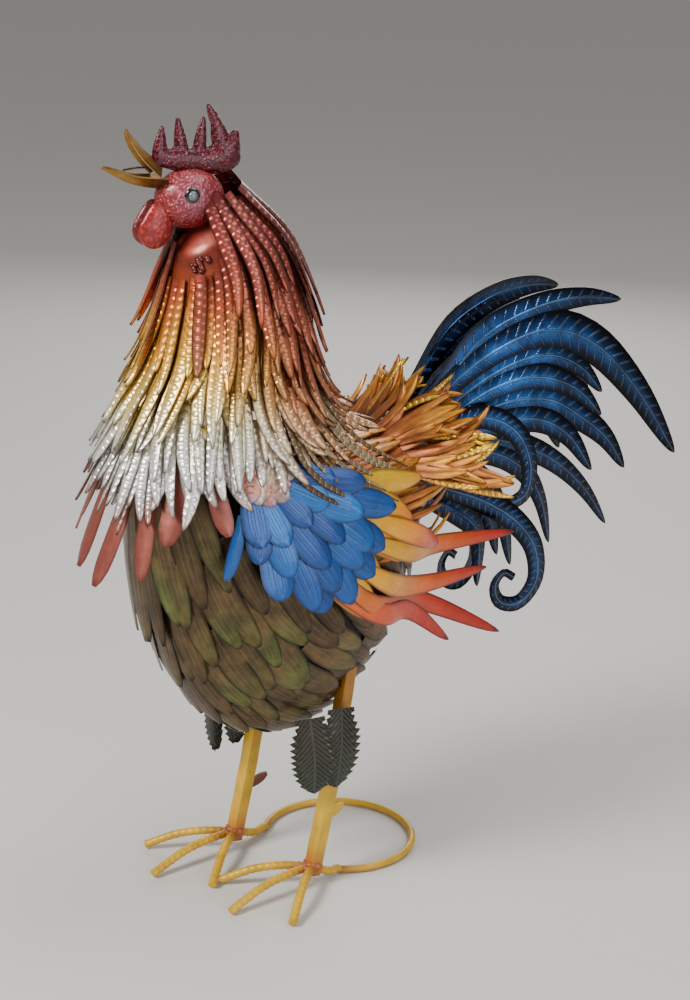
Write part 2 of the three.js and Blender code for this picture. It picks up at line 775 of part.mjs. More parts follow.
/** A blade along a curve, its flat sides facing `face` as nearly as the curve lets them. */
function blade(curve, segments, halfWidth, thickness, face) {
  const outwards = face.clone().normalize();
  const points = [];
  const faces = [];
  for (let n = 0; n < segments; n++) {
    const share = n / segments;
    const centre = curve.getPointAt(share);
    const along = curve.getTangentAt(share);
    const across = along.clone().cross(outwards).normalize();
    const width = halfWidth(share);
    points.push(centre.clone().addScaledVector(across, width));
    points.push(centre.clone().addScaledVector(outwards, 0.5 * thickness));
    points.push(centre.clone().addScaledVector(across, -width));
    points.push(centre.clone().addScaledVector(outwards, -0.5 * thickness));
  }
  for (let n = 0; n + 1 < segments; n++) {
    for (let i = 0; i < 4; i++) {
      const [a, b] = [4 * n + i, 4 * n + ((i + 1) % 4)];
      faces.push([a, b, b + 4], [a, b + 4, a + 4]);
    }
  }
  const tip = points.push(curve.getPointAt(1)) - 1;
  const lastRow = 4 * (segments - 1);
  for (let i = 0; i < 4; i++) {
    faces.push([lastRow + i, lastRow + ((i + 1) % 4), tip]);
  }
  faces.push([0, 3, 2], [0, 2, 1]);
  return closedGeometry(points, faces);
}

/** The long yellow and red feathers that come out from under the left wing, fused at the root. */
function wingQuills() {
  const onFlank = (y, z, share) => {
    const off = lerp(QUILL.offBodyRoot, QUILL.offBodyTip, Math.sqrt(share));
    return vec(flankX(y, z) + off, y, z);
  };
  const onRoot = (angle) => {
    const [y, z] = WING.shoulder;
    return onFlank(y + QUILL_ROOT.reach * Math.cos(angle), z - QUILL_ROOT.reach * Math.sin(angle), 0);
  };
  const quills = QUILL_PATHS.map(({ root, through }) => {
    const onwards = through.map(([y, z], n) => onFlank(y, z, (n + 1) / through.length));
    const points = [onRoot(degToRad(root)), ...onwards];
    const curve = new THREE.CatmullRomCurve3(points, false, "centripetal");
    const width = (share) => QUILL.width * (1 - 0.75 * share * share);
    return blade(curve, QUILL.segments, width, QUILL.thickness, vec(1, 0, 0));
  });
  const rootPoints = QUILL_ROOT.angles.map(degToRad).map(onRoot);
  const rootCurve = new THREE.CatmullRomCurve3(rootPoints, false, "centripetal");
  const root = blade(rootCurve, 2, () => QUILL.width, QUILL.thickness, vec(1, 0, 0));
  return fuse(root, ...quills);
}

/** How far a tail plate, or a sickle `out` mm outside it, stands from the middle plane. */
function tailX(y, splay, out) {
  return TAIL.halfGap + out + Math.tan(degToRad(splay)) * (y - TAIL.hingeY);
}

/** Long feathers that share one plate near the root and part towards their tips. */
function tailPlate(paths, plateX, row) {
  const curves = paths.map(sideCurve);
  const last = TAIL.levels.length - 1;
  const place = (point, out) => vec(plateX(point.y) + out, point.y, point.z);
  const middle = (i, level) => curves[i].getPointAt(TAIL.levels[level]);
  const sideways = (i, share) => {
    const along = curves[i].getTangentAt(share);
    return vec(0, -along.z, along.y);
  };
  const rim = (i, level, hand) => {
    const share = TAIL.levels[level];
    return middle(i, level).addScaledVector(sideways(i, share), -hand * TAIL.halfWidth * TAIL.taper[level]);
  };
  return combStrip({
    teeth: paths.length,
    closed: false,
    notch: TAIL.notch,
    last,
    edge: (k, level) => {
      const inside = k > 0 && k < paths.length;
      const outermost = k === 0 ? rim(0, level, -1) : rim(paths.length - 1, level, 1);
      const point = inside ? middle(k - 1, level).lerp(middle(k, level), 0.5) : outermost;
      return { outer: place(point, TAIL.plate), inner: place(point, 0) };
    },
    side: (i, level, hand) => place(rim(i, level, hand), 0.5 * TAIL.plate),
    ridge: (i, level) => place(middle(i, level), TAIL.rib + 0.3 * scatter(row, i)),
    tip: (i) => place(curves[i].getPointAt(1), 0.5 * TAIL.plate),
  });
}

function tailCurl(path, splay, out) {
  const curve = new THREE.CatmullRomCurve3(
    path.map(([y, z]) => vec(tailX(y, splay, out), y, z)),
    false,
    "centripetal",
  );
  const width = (share) => CURL.halfWidth * (0.75 + 0.5 * Math.sin(Math.PI * share) - 0.5 * share);
  return blade(curve, CURL.segments, width, CURL.thickness, vec(1, -0.18, 0));
}

function tailPieces() {
  const body = bodyEgg(GAP);
  const inner = cut(tailPlate(INNER_PATHS, () => -0.5 * TAIL.plate, 61), body);
  const sides = Object.entries(TAIL.splay).flatMap(([name, splay]) => {
    const place = name === "left" ? (geometry) => geometry : mirrored;
    const fan = cut(tailPlate(FAN_PATHS, (y) => tailX(y, splay, 0), 60), body);
    const upper = cut(tailCurl(UPPER_CURL, splay, TAIL.curlOut[0]), body);
    const lower = cut(tailCurl(LOWER_CURL, splay, TAIL.curlOut[1]), body);
    return [
      piece(`tail_fan_${name}`, place(fan), COLOURS.tail),
      piece(`tail_curl_upper_${name}`, place(upper), COLOURS.tail),
      piece(`tail_curl_lower_${name}`, place(lower), COLOURS.tail),
    ];
  });
  return [piece("tail_inner", inner, COLOURS.tail), ...sides];
}

// ---------------------------------------------------------------------------------------
// Legs, feet and hoop
// ---------------------------------------------------------------------------------------

/** A straight-sided section swept along a curve, with closed ends. */
function sweep(curve, section, steps) {
  return new THREE.ExtrudeGeometry(section, { steps, extrudePath: curve, bevelEnabled: false });
}

/** A regular polygon that a rod of this radius fits, with a flat turned to `turn`. */
function rodSection(radius, sides, turn = 0) {
  const corners = Array.from({ length: sides }, (_, i) => {
    const angle = (2 * Math.PI * (i + 0.5)) / sides + turn;
    return new THREE.Vector2(radius * Math.cos(angle), radius * Math.sin(angle));
  });
  return new THREE.Shape(corners);
}

/** The leg's square bar from the ankle up into the body. */
function legBar(hand, grow = 0) {
  const ankleY = LEG.ankleY[hand > 0 ? 0 : 1];
  const half = 0.5 * LEG.width + grow;
  const corners = [[-half, -half], [half, -half], [half, half], [-half, half]];
  const ring = ([back, z]) => corners.map(([x, y]) => vec(hand * LEG.x + x, ankleY + back + y, z));
  return loft(LEG.points.map(ring));
}

/** The stub of bent plate behind the shank. */
function spur(hand) {
  const [[lowBack, lowZ], [highBack, highZ]] = LEG.points;
  const back = THREE.MathUtils.mapLinear(SPUR.height, lowZ, highZ, lowBack, highBack);
  const rootY = LEG.ankleY[hand > 0 ? 0 : 1] + back + 0.5 * LEG.width;
  const plate = new THREE.Shape([
    new THREE.Vector2(0, 0),
    new THREE.Vector2(SPUR.length, 0.25 * SPUR.width),
    new THREE.Vector2(0.84 * SPUR.length, SPUR.width),
    new THREE.Vector2(0, SPUR.width),
  ]);
  const stub = new THREE.ExtrudeGeometry(plate, { depth: SPUR.thickness, bevelEnabled: false });
  stub.rotateX(0.5 * Math.PI).rotateZ(0.5 * Math.PI);
  return cut(stub.translate(hand * LEG.x - 0.5 * SPUR.thickness, rootY, SPUR.height), legBar(hand, GAP));
}

const floorCut = () => new THREE.BoxGeometry(800, 800, 40).translate(0, 0, -20);

/** A toe: a rod that runs out level from the ankle and dips to the floor at its end. */
function toeRod(hand, number, grow = 0) {
  const ankleY = LEG.ankleY[hand > 0 ? 0 : 1];
  const angle = degToRad(TOE.angles[number]);
  const length = TOE.lengths[number];
  const at = (share, z) => vec(
    hand * LEG.x + length * share * Math.sin(angle),
    ankleY - length * share * Math.cos(angle),
    z,
  );
  const curve = new THREE.CatmullRomCurve3(
    [at(0.03, TOE.ankleZ - 3), at(0.3, TOE.ankleZ - 2), at(TOE.bend, TOE.ankleZ - 5), at(1, TOE.tipZ)],
    false,
    "centripetal",
  );
  return sweep(curve, rodSection(TOE.radius + grow, TOE.sides), TOE.steps);
}

function ringPoint(angle) {
  return vec(
    RING.centreX + RING.radius * Math.sin(angle),
    RING.centreY - RING.radius * Math.cos(angle),
    RING.rod * Math.cos(Math.PI / RING.sides),
  );
}

/** The open hoop behind the feet: its ends stop short of the front by half the mouth. */
function hoop(grow = 0) {
  const start = degToRad(0.5 * RING.mouth);
  const end = 2 * Math.PI - start;
  const section = rodSection(RING.rod + grow, RING.sides, Math.PI / RING.sides);
  const corners = section.getPoints().slice(0, RING.sides);
  const rings = Array.from({ length: RING.steps + 1 }, (_, n) => {
    const angle = lerp(start, end, n / RING.steps);
    const centre = ringPoint(angle);
    const outwards = vec(Math.sin(angle), -Math.cos(angle), 0);
    return corners.map((c) => centre.clone().addScaledVector(outwards, c.x).add(vec(0, 0, c.y)));
  });
  return loft(rings);
}

/** The rear rod of a foot, from the ankle back and down to the hoop's end. */
function backToe(hand) {
  const ankleY = LEG.ankleY[hand > 0 ? 0 : 1];
  const half = degToRad(0.5 * RING.mouth);
  const end = ringPoint(hand > 0 ? half : 2 * Math.PI - half);
  const start = vec(hand * LEG.x, ankleY + 2, TOE.ankleZ - 3);
  const middle = start.clone().lerp(end, 0.6).add(vec(0, 0, -3));
  const stop = end.clone().lerp(middle, 0.1).add(vec(0, 0, 1.2));
  const curve = new THREE.CatmullRomCurve3([start, middle, stop], false, "centripetal");
  return sweep(curve, rodSection(TOE.radius, TOE.sides), 3);
}

function footPieces(hand, name) {
  const leg = legBar(hand, GAP);
  const toeRooms = [0, 1, 2].map((number) => toeRod(hand, number, GAP));
  const middleToe = cut(toeRod(hand, 1), leg, floorCut());
  const sideToe = (number) => cut(toeRod(hand, number), leg, toeRooms[1], floorCut());
  const rear = cut(backToe(hand), leg, hoop(GAP), floorCut(), ...toeRooms);
  return [
    piece(`toe_${name}_inner`, sideToe(hand > 0 ? 0 : 2), COLOURS.foot),
    piece(`toe_${name}_middle`, middleToe, COLOURS.foot),
    piece(`toe_${name}_outer`, sideToe(hand > 0 ? 2 : 0), COLOURS.foot),
    piece(`toe_${name}_rear`, rear, COLOURS.foot),
    piece(`leg_${name}`, cut(legBar(hand), bodyEgg(GAP)), COLOURS.foot),
    piece(`spur_${name}`, spur(hand), COLOURS.foot),
  ];
}

/** One fringed leaf, hanging from the origin down to -length, its edge slit into barbs. */
function leaf() {
  const { length, halfWidth, notches, cut: depth, thickness } = LEAF;
  const width = (share) => halfWidth * (0.45 + 0.55 * Math.sin(Math.PI * clamp(0.15 + 0.8 * share, 0, 1)));
  const side = [];
  for (let i = 0; i <= notches; i++) {
    const share = i / (notches + 0.6);
    side.push([width(share), -length * share]);
    if (i > 0 && i < notches) side.push([width(share) - depth, -length * (share - 0.035)]);
  }
  const right = side.map(([x, z]) => new THREE.Vector2(x, z));
  const left = side.map(([x, z]) => new THREE.Vector2(-x, z)).reverse();
  const outline = new THREE.Shape([...right, new THREE.Vector2(0, -length), ...left]);
  const plate = new THREE.ExtrudeGeometry(outline, { depth: thickness, bevelEnabled: false });
  return plate.rotateX(0.5 * Math.PI).translate(0, 0.5 * thickness, 0);
}

/** Two leaves side by side on the outside of a thigh, meeting in a shallow ridge. */
function thighLeaves(hand) {
  const ankleY = LEG.ankleY[hand > 0 ? 0 : 1];
  const place = (way) =>
    leaf()
      .rotateY(degToRad(hand * way * LEAF.lean))
      .rotateZ(hand * degToRad(90 - way * LEAF.turn))
      .translate(hand * (LEG.x + LEAF.out), ankleY + way * LEAF.spread, LEAF.top);
  return cut(fuse(place(1), place(-1)), bodyEgg(GAP), legBar(hand, GAP));
}

// ---------------------------------------------------------------------------------------
// The whole bird
// ---------------------------------------------------------------------------------------

function rooster() {
  const bird = new THREE.Group();
  const legs = [legBar(1, GAP), legBar(-1, GAP)];
  const quills = wingQuills();
  bird.add(piece("body_shell", bodyEgg(), COLOURS.body));
  bird.add(piece("neck_core", neckCore(), COLOURS.neck));
  bird.add(headGroup());
  bird.add(...hackleRows());
  bird.add(...bodyRows(legs));
  bird.add(...wingRows());
  bird.add(piece("wing_quills_left", quills, COLOURS.quill));
  bird.add(piece("wing_quills_right", mirrored(quills), COLOURS.quill));
  bird.add(...saddleRows());
  bird.add(...tailPieces());
  bird.add(piece("thigh_leaves_left", thighLeaves(1), COLOURS.leaf));
  bird.add(piece("thigh_leaves_right", thighLeaves(-1), COLOURS.leaf));
  bird.add(...footPieces(1, "left"));
  bird.add(...footPieces(-1, "right"));
  bird.add(piece("ring", hoop(), COLOURS.foot));
  return bird;
}

/** The bird with its box centred over the origin and its feet on Z = 0. */
function centred(bird) {
  bird.updateMatrixWorld(true);
  const box = new THREE.Box3().setFromObject(bird);
  const middle = box.getCenter(new THREE.Vector3());
  bird.position.set(-middle.x, -middle.y, -box.min.z);
  const stand = new THREE.Group();
  stand.add(bird);
  return stand;
}

export default centred(rooster());
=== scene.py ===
"""The visible model of a painted sheet-metal garden rooster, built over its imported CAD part."""

import logging
import math
from dataclasses import dataclass, field
from enum import Enum
from typing import Callable, Sequence

import bpy
import numpy as np
from mathutils import Matrix, Vector


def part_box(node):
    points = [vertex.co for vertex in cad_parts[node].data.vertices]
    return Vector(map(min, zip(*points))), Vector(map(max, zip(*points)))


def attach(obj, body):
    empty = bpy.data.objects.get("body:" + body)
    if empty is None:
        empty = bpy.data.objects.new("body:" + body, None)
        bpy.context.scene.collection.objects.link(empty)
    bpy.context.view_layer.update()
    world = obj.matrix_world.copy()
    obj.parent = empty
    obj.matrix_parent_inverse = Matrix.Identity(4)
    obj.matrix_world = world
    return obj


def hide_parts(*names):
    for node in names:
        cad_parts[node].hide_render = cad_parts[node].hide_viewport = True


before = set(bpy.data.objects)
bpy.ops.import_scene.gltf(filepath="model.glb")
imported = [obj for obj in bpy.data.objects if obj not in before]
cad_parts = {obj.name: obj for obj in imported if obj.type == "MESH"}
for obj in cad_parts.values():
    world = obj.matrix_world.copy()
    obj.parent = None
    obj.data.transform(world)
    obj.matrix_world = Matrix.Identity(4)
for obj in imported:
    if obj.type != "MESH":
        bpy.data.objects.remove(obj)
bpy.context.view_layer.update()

log = logging.getLogger("rooster")

Array = np.ndarray
Socket = bpy.types.NodeSocket
PER_METRE = 1000.0  # millimetres to a metre


# Numbers, curves and colours


def unit(vectors: Array) -> Array:
    """Scales vectors to length one."""
    length = np.linalg.norm(vectors, axis=-1, keepdims=True)
    return vectors / np.maximum(length, 1e-9)


def smoothstep(low: float, high: float, value: Array) -> Array:
    """Eases from 0 at low to 1 at high."""
    share = np.clip((np.asarray(value, float) - low) / (high - low), 0.0, 1.0)
    return share * share * (3.0 - 2.0 * share)


def linear(rgb: Sequence[float]) -> Array:
    """Turns a display colour of 0 to 255 into the renderer's linear values."""
    share = np.asarray(rgb, float) / 255.0
    return np.where(share <= 0.04045, share / 12.92, ((share + 0.055) / 1.055) ** 2.4)


@dataclass(frozen=True)
class Ramp:
    """A run of paint colours, read at any value between its stops."""

    stops: tuple[float, ...]
    colours: tuple[tuple[float, float, float], ...]

    def at(self, value: Array) -> Array:
        """Reads the ramp.

        Args:
            value: where on the ramp, any shape.

        Returns:
            Linear colours, with one more axis of three.
        """
        table = np.array([linear(c) for c in self.colours])
        channels = [np.interp(value, self.stops, table[:, n]) for n in range(3)]
        return np.stack(channels, axis=-1)


class SmoothPath:
    """A centripetal Catmull-Rom curve through a few points, read by its share of length."""

    def __init__(self, points: Sequence[Sequence[float]], samples: int = 24) -> None:
        """Samples the curve densely.

        Args:
            points: the points that the curve passes through.
            samples: how many steps each span is cut into.
        """
        control = np.asarray(points, float)
        first = 2 * control[0] - control[1]
        last = 2 * control[-1] - control[-2]
        p = np.vstack([first, control, last])
        knot = np.concatenate([[0], np.cumsum(np.sqrt(np.linalg.norm(np.diff(p, axis=0), axis=1)))])
        spans = len(control) - 1
        share = np.linspace(0, 1, samples, endpoint=False)
        k = np.arange(spans)[:, None]
        t = (knot[k + 1] + (knot[k + 2] - knot[k + 1]) * share)[..., None]

        def blend(a: Array, b: Array, low: Array, high: Array) -> Array:
            """Goes from a at low to b at high in a straight line."""
            low, high = low[..., None], high[..., None]
            return ((high - t) * a + (t - low) * b) / (high - low)

        q = [p[k + n] for n in range(4)]
        ks = [knot[k + n] for n in range(4)]
        a1, a2, a3 = (blend(q[n], q[n + 1], ks[n], ks[n + 1]) for n in range(3))
        b1, b2 = blend(a1, a2, ks[0], ks[2]), blend(a2, a3, ks[1], ks[3])
        dense = blend(b1, b2, ks[1], ks[2]).reshape(-1, 3)
        self._points = np.vstack([dense, control[-1]])
        step = np.linalg.norm(np.diff(self._points, axis=0), axis=1)
        self.length = float(step.sum())
        self._share = np.concatenate([[0], np.cumsum(step)]) / self.length

    def at(self, share: Array) -> Array:
        """Reads the curve."""
        return np.stack([np.interp(share, self._share, self._points[:, n]) for n in range(3)], axis=-1)


def side_path(points: Sequence[Sequence[float]]) -> SmoothPath:
    """A curve in the bird's middle plane."""
    return SmoothPath([(0.0, y, z) for y, z in points])


# Where things are: the bird's own millimetres, and the surfaces that feathers lie on


@dataclass(frozen=True)
class Placing:
    """Takes the bird's own millimetres, centred between its feet, to the frame's metres."""

    hoop_centre: tuple[float, float] = (-4.0, 79.0)
    hoop_radius: float = 65.0
    rod: float = 3.4

    def metres(self, points: Array) -> Array:
        """Places points in the frame."""
        return (np.asarray(points, float) - self._shift()) / PER_METRE

    def millimetres(self, points: Array) -> Array:
        """Takes the frame's metres back to the bird's own millimetres."""
        return np.asarray(points, float) * PER_METRE + self._shift()

    def _shift(self) -> Array:
        """The drawing's place less the frame's, in mm, as the box of the hoop gives it."""
        low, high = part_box("ring")
        shift_x = self.hoop_centre[0] - 0.5 * PER_METRE * (low[0] + high[0])
        shift_y = self.hoop_centre[1] + self.hoop_radius + self.rod - PER_METRE * high[1]
        return np.array([shift_x, shift_y, 0.0])


PLACING = Placing()


@dataclass(frozen=True)
class Carrier:
    """A surface that feathers are laid on, read by an angle and a distance."""

    def point(self, angle: Array, distance: Array) -> Array:
        """Gives the surface's point."""
        raise NotImplementedError

    def outside(self, point: Array) -> Array:
        """Gives a rough outward direction, to choose the normal's side."""
        raise NotImplementedError

    def with_normal(self, angle: Array, distance: Array) -> tuple[Array, Array]:
        """Reads points and outward normals, from small steps either way.

        Args:
            angle: radians round the surface.
            distance: millimetres along it.

        Returns:
            The points and the unit normals.
        """
        point = self.point(angle, distance)
        around = self.point(angle + 0.01, distance) - self.point(angle - 0.01, distance)
        along = self.point(angle, distance + 1.0) - self.point(angle, distance - 1.0)
        normal = unit(np.cross(around, along))
        side = np.sign(np.sum(normal * self.outside(point), axis=-1, keepdims=True))
        return point, normal * np.where(side == 0, 1.0, side)


@dataclass(frozen=True)
class NeckCarrier(Carrier):
    """The leaning cone of the neck. Angle 0 is the throat and 90 degrees the bird's left."""

    length: float = 245.0
    front: SmoothPath = side_path(
        [(-99, 552), (-104, 520), (-110, 490), (-120, 452), (-137, 415), (-151, 375), (-164, 335)]
    )
    back: SmoothPath = side_path(
        [(-50, 587), (-14, 546), (2, 495), (8, 455), (20, 420), (42, 399), (68, 387)]
    )
    half_widths: tuple[float, ...] = (21, 40, 47, 56, 68, 83, 96)

    def _ring(self, angle: Array, distance: Array) -> Array:
        """Points of the cone's rounded ring at each angle and distance."""
        share = np.clip(distance / self.length, 0, 1)
        front, back = self.front.at(share), self.back.at(share)
        levels = np.linspace(0, 1, len(self.half_widths))
        half = np.interp(share, levels, self.half_widths)
        point = 0.5 * (front + back) + 0.5 * (front - back) * np.cos(angle)[..., None]
        point[..., 0] += half * np.sin(angle)
        return point

    def point(self, angle: Array, distance: Array) -> Array:
        """See Carrier. Past either end of the cone it runs straight on."""
        angle, distance = np.broadcast_arrays(np.asarray(angle, float), np.asarray(distance, float))
        reach = np.clip(distance, 4.0, self.length - 4.0)
        onwards = unit(self._ring(angle, reach + 3.0) - self._ring(angle, reach - 3.0))
        return self._ring(angle, reach) + onwards * (distance - reach)[..., None]

    def outside(self, point: Array) -> Array:
        """See Carrier."""
        return np.stack([point[..., 0], point[..., 1] + 60.0, np.full(point.shape[:-1], 20.0)], axis=-1)


@dataclass(frozen=True)
class Egg:
    """The body's lower egg and flatter back."""

    centre_z: float = 358.0
    half_width: float = 77.0
    half_length: float = 138.0
    depth: float = 220.0
    back_z: float = 345.0
    back_rise: float = 30.0

    def flank(self, y: Array, z: Array) -> Array:
        """How far the side stands out."""
        rest = 1 - ((z - self.centre_z) / self.depth) ** 2 - (y / self.half_length) ** 2
        return self.half_width * np.sqrt(np.maximum(0.12, rest))

    def surface(self, angle: Array, level: Array) -> Array:
        """The whole body. Level 0 is its lowest point and 1 its highest, angle goes round Z.

        Args:
            angle: radians round the upright axis.
            level: 0 to 1.

        Returns:
            Points in the bird's millimetres.
        """
        turn = math.acos((self.centre_z - self.back_z) / self.depth)
        lower = np.clip(level / 0.8, 0, 1) * turn
        upper = np.clip((level - 0.8) / 0.2, 0, 1) * 0.5 * math.pi
        radius = np.where(level <= 0.8, np.sin(lower), np.cos(upper) * math.sin(turn))
        low_z = self.centre_z - self.depth * np.cos(lower)
        z = np.where(level <= 0.8, low_z, self.back_z + self.back_rise * np.sin(upper))
        x = self.half_width * radius * np.sin(angle)
        return np.stack([x, -self.half_length * radius * np.cos(angle), z], axis=-1)


EGG = Egg()


@dataclass(frozen=True)
class BreastCarrier(Carrier):
    """The egg read in rings round the vent. Angle 0 is the breast's middle line."""

    first_angle: float = 131.0
    arc: float = 150.0
    vent: tuple[float, float] = (0.76, -0.65)

    def point(self, angle: Array, distance: Array) -> Array:
        """See Carrier. Distance runs from the upper breast back to the vent."""
        angle, distance = np.broadcast_arrays(np.asarray(angle, float), np.asarray(distance, float))
        from_vent = math.radians(self.first_angle) - distance / self.arc
        y, z = np.array(self.vent) / np.hypot(*self.vent)
        cos, sin = np.cos(from_vent), np.sin(from_vent)
        down = sin * np.cos(angle)
        return np.stack(
            [
                EGG.half_width * sin * np.sin(angle),
                EGG.half_length * (y * cos + z * down),
                EGG.centre_z + EGG.depth * (z * cos - y * down),
            ],
            axis=-1,
        )

    def outside(self, point: Array) -> Array:
        """See Carrier."""
        return point - np.array([0.0, 0.0, EGG.centre_z])


@dataclass(frozen=True)
class WingCarrier(Carrier):
    """The left wing's shallow shield: angles below the level, distances from the shoulder."""

    shoulder: tuple[float, float] = (-88.0, 386.0)
    stand_off: float = 10.0
    spread: float = 12.0
    reach: float = 132.0

    def point(self, angle: Array, distance: Array) -> Array:
        """See Carrier."""
        angle, distance = np.broadcast_arrays(np.asarray(angle, float), np.asarray(distance, float))
        steep = smoothstep(60, 100, np.degrees(angle))
        run = distance * (1 - 0.24 * steep)
        y = self.shoulder[0] + run * np.cos(angle)
        z = self.shoulder[1] - run * np.sin(angle)
        off = self.stand_off + self.spread * distance / self.reach
        return np.stack([EGG.flank(y, z) + off, y, z], axis=-1)

    def outside(self, point: Array) -> Array:
        """See Carrier."""
        return np.broadcast_to(np.array([1.0, 0.0, 0.0]), point.shape)


@dataclass(frozen=True)
class SaddleCarrier(Carrier):
    """The fan of strips over the tail's root. Angle 0 is the middle of the back."""

    start_y: float = 82.0
    half_width: float = 60.0
    flare: float = 0.36
    rising: float = 27.0
    falling: float = -22.0

    def point(self, angle: Array, distance: Array) -> Array:
        """See Carrier."""
        angle, distance = np.broadcast_arrays(np.asarray(angle, float), np.asarray(distance, float))
        sideways = np.sin(angle)
        x = self.half_width * sideways
        share = 1 - (x / EGG.half_width) ** 2 - (self.start_y / EGG.half_length) ** 2
        z = EGG.back_z + EGG.back_rise * np.sqrt(np.maximum(share, 0))
        tilt = np.radians(self.rising + (self.falling - self.rising) * sideways**2)
        along = unit(np.stack([self.flare * sideways, np.cos(tilt), np.sin(tilt)], axis=-1))
        start = np.stack([x, np.full_like(x, self.start_y), z], axis=-1)
        return start + along * distance[..., None]

    def outside(self, point: Array) -> Array:
        """See Carrier."""
        up = np.full(point.shape[:-1], 40.0)
        return np.stack([0.9 * point[..., 0], np.zeros_like(up), up], axis=-1)


@dataclass(frozen=True)
class BackCarrier(Carrier):
    """The body's back and upper flanks, read from front to back. Angle 0 is the middle line."""

    start_y: float = 0.0
    flank_depth: float = 120.0

    def point(self, angle: Array, distance: Array) -> Array:
        """See Carrier."""
        angle, distance = np.broadcast_arrays(np.asarray(angle, float), np.asarray(distance, float))
        y = self.start_y + distance
        full = np.sqrt(np.maximum(0.2, 1 - (y / EGG.half_length) ** 2))
        upright = np.cos(angle)
        depth = np.where(upright > 0, EGG.back_rise, self.flank_depth)
        return np.stack(
            [EGG.half_width * full * np.sin(angle), y, EGG.back_z + depth * full * upright], axis=-1
        )

    def outside(self, point: Array) -> Array:
        """See Carrier."""
        return point - np.array([0.0, 0.0, EGG.back_z - 60.0])


# Meshes


@dataclass
class Surface:
    """Points, four-sided faces and three attributes of one piece, gathered part by part."""

    points: list[Array] = field(default_factory=list)
    faces: list[Array] = field(default_factory=list)
    place: list[Array] = field(default_factory=list)
    reach: list[Array] = field(default_factory=list)
    paint: list[Array] = field(default_factory=list)

    def add(self, points: Array, faces: Array, place: Array, reach: Array, paint: Array) -> None:
        """Adds one closed part.

        Args:
            points: N by 3, the bird's millimetres.
            faces: Q by 4 indexes into points, seen anticlockwise from outside.
            place: N by 3, across from -1 to 1, along from 0 to 1, and a number that differs.
            reach: N by 3, millimetres across, along and half the width.
            paint: N by 3, linear colour.
        """
        offset = sum(len(p) for p in self.points)
        self.points.append(points)
        self.faces.append(faces + offset)
        self.place.append(place)
        self.reach.append(reach)
        self.paint.append(paint)

    def mirrored(self) -> "Surface":
        """Gives the same surface on the bird's other side.

        Returns:
            The mirrored surface.
        """
        flip = np.array([-1.0, 1.0, 1.0])
        faces = [f[:, ::-1] for f in self.faces]
        return Surface([p * flip for p in self.points], faces, self.place, self.reach, self.paint)

    def grown(self, name: str, voxel: float, colouring: "Colouring") -> "Surface":
        """Grows overlapping closed parts together into one smooth skin.

        Args:
            name: what the passing mesh is called.
            voxel: how finely it is rebuilt, metres.
            colouring: the skin's paint.

        Returns:
            A surface of four-sided faces.
        """
        mesh = bpy.data.meshes.new(name + "_parts")
        mesh.from_pydata(PLACING.metres(np.vstack(self.points)), [], np.vstack(self.faces))
        whole = bpy.data.objects.new(name + "_parts", mesh)
        bpy.context.scene.collection.objects.link(whole)
        grow = whole.modifiers.new("grow_together", "REMESH")
        grow.mode = "VOXEL"
        grow.voxel_size = voxel
        soften = whole.modifiers.new("soften", "SMOOTH")
        soften.factor = 0.6
        soften.iterations = 4
        seen = whole.evaluated_get(bpy.context.evaluated_depsgraph_get())
        skin = seen.to_mesh()
        points = np.empty(3 * len(skin.vertices))
        skin.vertices.foreach_get("co", points)
        faces = np.empty(4 * len(skin.polygons), np.int32)
        skin.loops.foreach_get("vertex_index", faces)
        seen.to_mesh_clear()
        bpy.data.objects.remove(whole)
        bpy.data.meshes.remove(mesh)
        points = PLACING.millimetres(points.reshape(-1, 3))
        even = np.zeros((len(points), 3))
        paint = np.broadcast_to(colouring(points, even[:, 0], even[:, 0], even[:, 0]), points.shape)
        result = Surface()
        result.add(points, faces.reshape(-1, 4), even, even, paint)
        return result

    def object(self, name: str, finish: "Finish", slot: str, nodes: Sequence[str]) -> bpy.types.Object:
        """Makes the piece, which stands for some CAD nodes and rides on the root body.

        Args:
            name: the piece's name.
            finish: what it is painted with.
            slot: the record's material slot.
            nodes: the CAD nodes that it stands for.

        Returns:
            The new object.
        """
        points = PLACING.metres(np.vstack(self.points))
        faces = np.vstack(self.faces).astype(np.int32)
        mesh = bpy.data.meshes.new(name)
        mesh.vertices.add(len(points))
        mesh.vertices.foreach_set("co", points.astype(np.float32).ravel())
        mesh.loops.add(faces.size)
        mesh.loops.foreach_set("vertex_index", faces.ravel())
        mesh.polygons.add(len(faces))
        mesh.polygons.foreach_set("loop_start", np.arange(0, faces.size, 4, dtype=np.int32))
        mesh.polygons.foreach_set("use_smooth", np.ones(len(faces), bool))
        mesh.update(calc_edges=True)
        for label, values in (("place", self.place), ("reach", self.reach)):
            layer = mesh.attributes.new(label, "FLOAT_VECTOR", "POINT")
            layer.data.foreach_set("vector", np.vstack(values).astype(np.float32).ravel())
        colour = np.ones((len(points), 4), np.float32)
        colour[:, :3] = np.clip(np.vstack(self.paint), 0, 1)
        mesh.attributes.new("paint", "FLOAT_COLOR", "POINT").data.foreach_set("color", colour.ravel())
        mesh.validate()
        mesh.set_sharp_from_angle(angle=math.radians(48))
        return dress(bpy.data.objects.new(name, mesh), finish, slot, nodes)


def dress(piece: bpy.types.Object, finish: "Finish", slot: str, nodes: Sequence[str]) -> bpy.types.Object:
    """Links a piece, paints it and ties it to the frame.

    Args:
        piece: a mesh object whose points are in the frame's metres.
        finish: what it is painted with.
        slot: the record's material slot; not used.
        nodes: the CAD nodes that it stands for.

    Returns:
        The piece.
    """
    bpy.context.scene.collection.objects.link(piece)
    piece.data.materials.append(finish.material())
    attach(piece, "root")
    if nodes:
        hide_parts(*nodes)
    log.info("%s: %d faces", piece.name, len(piece.data.polygons))
    return piece


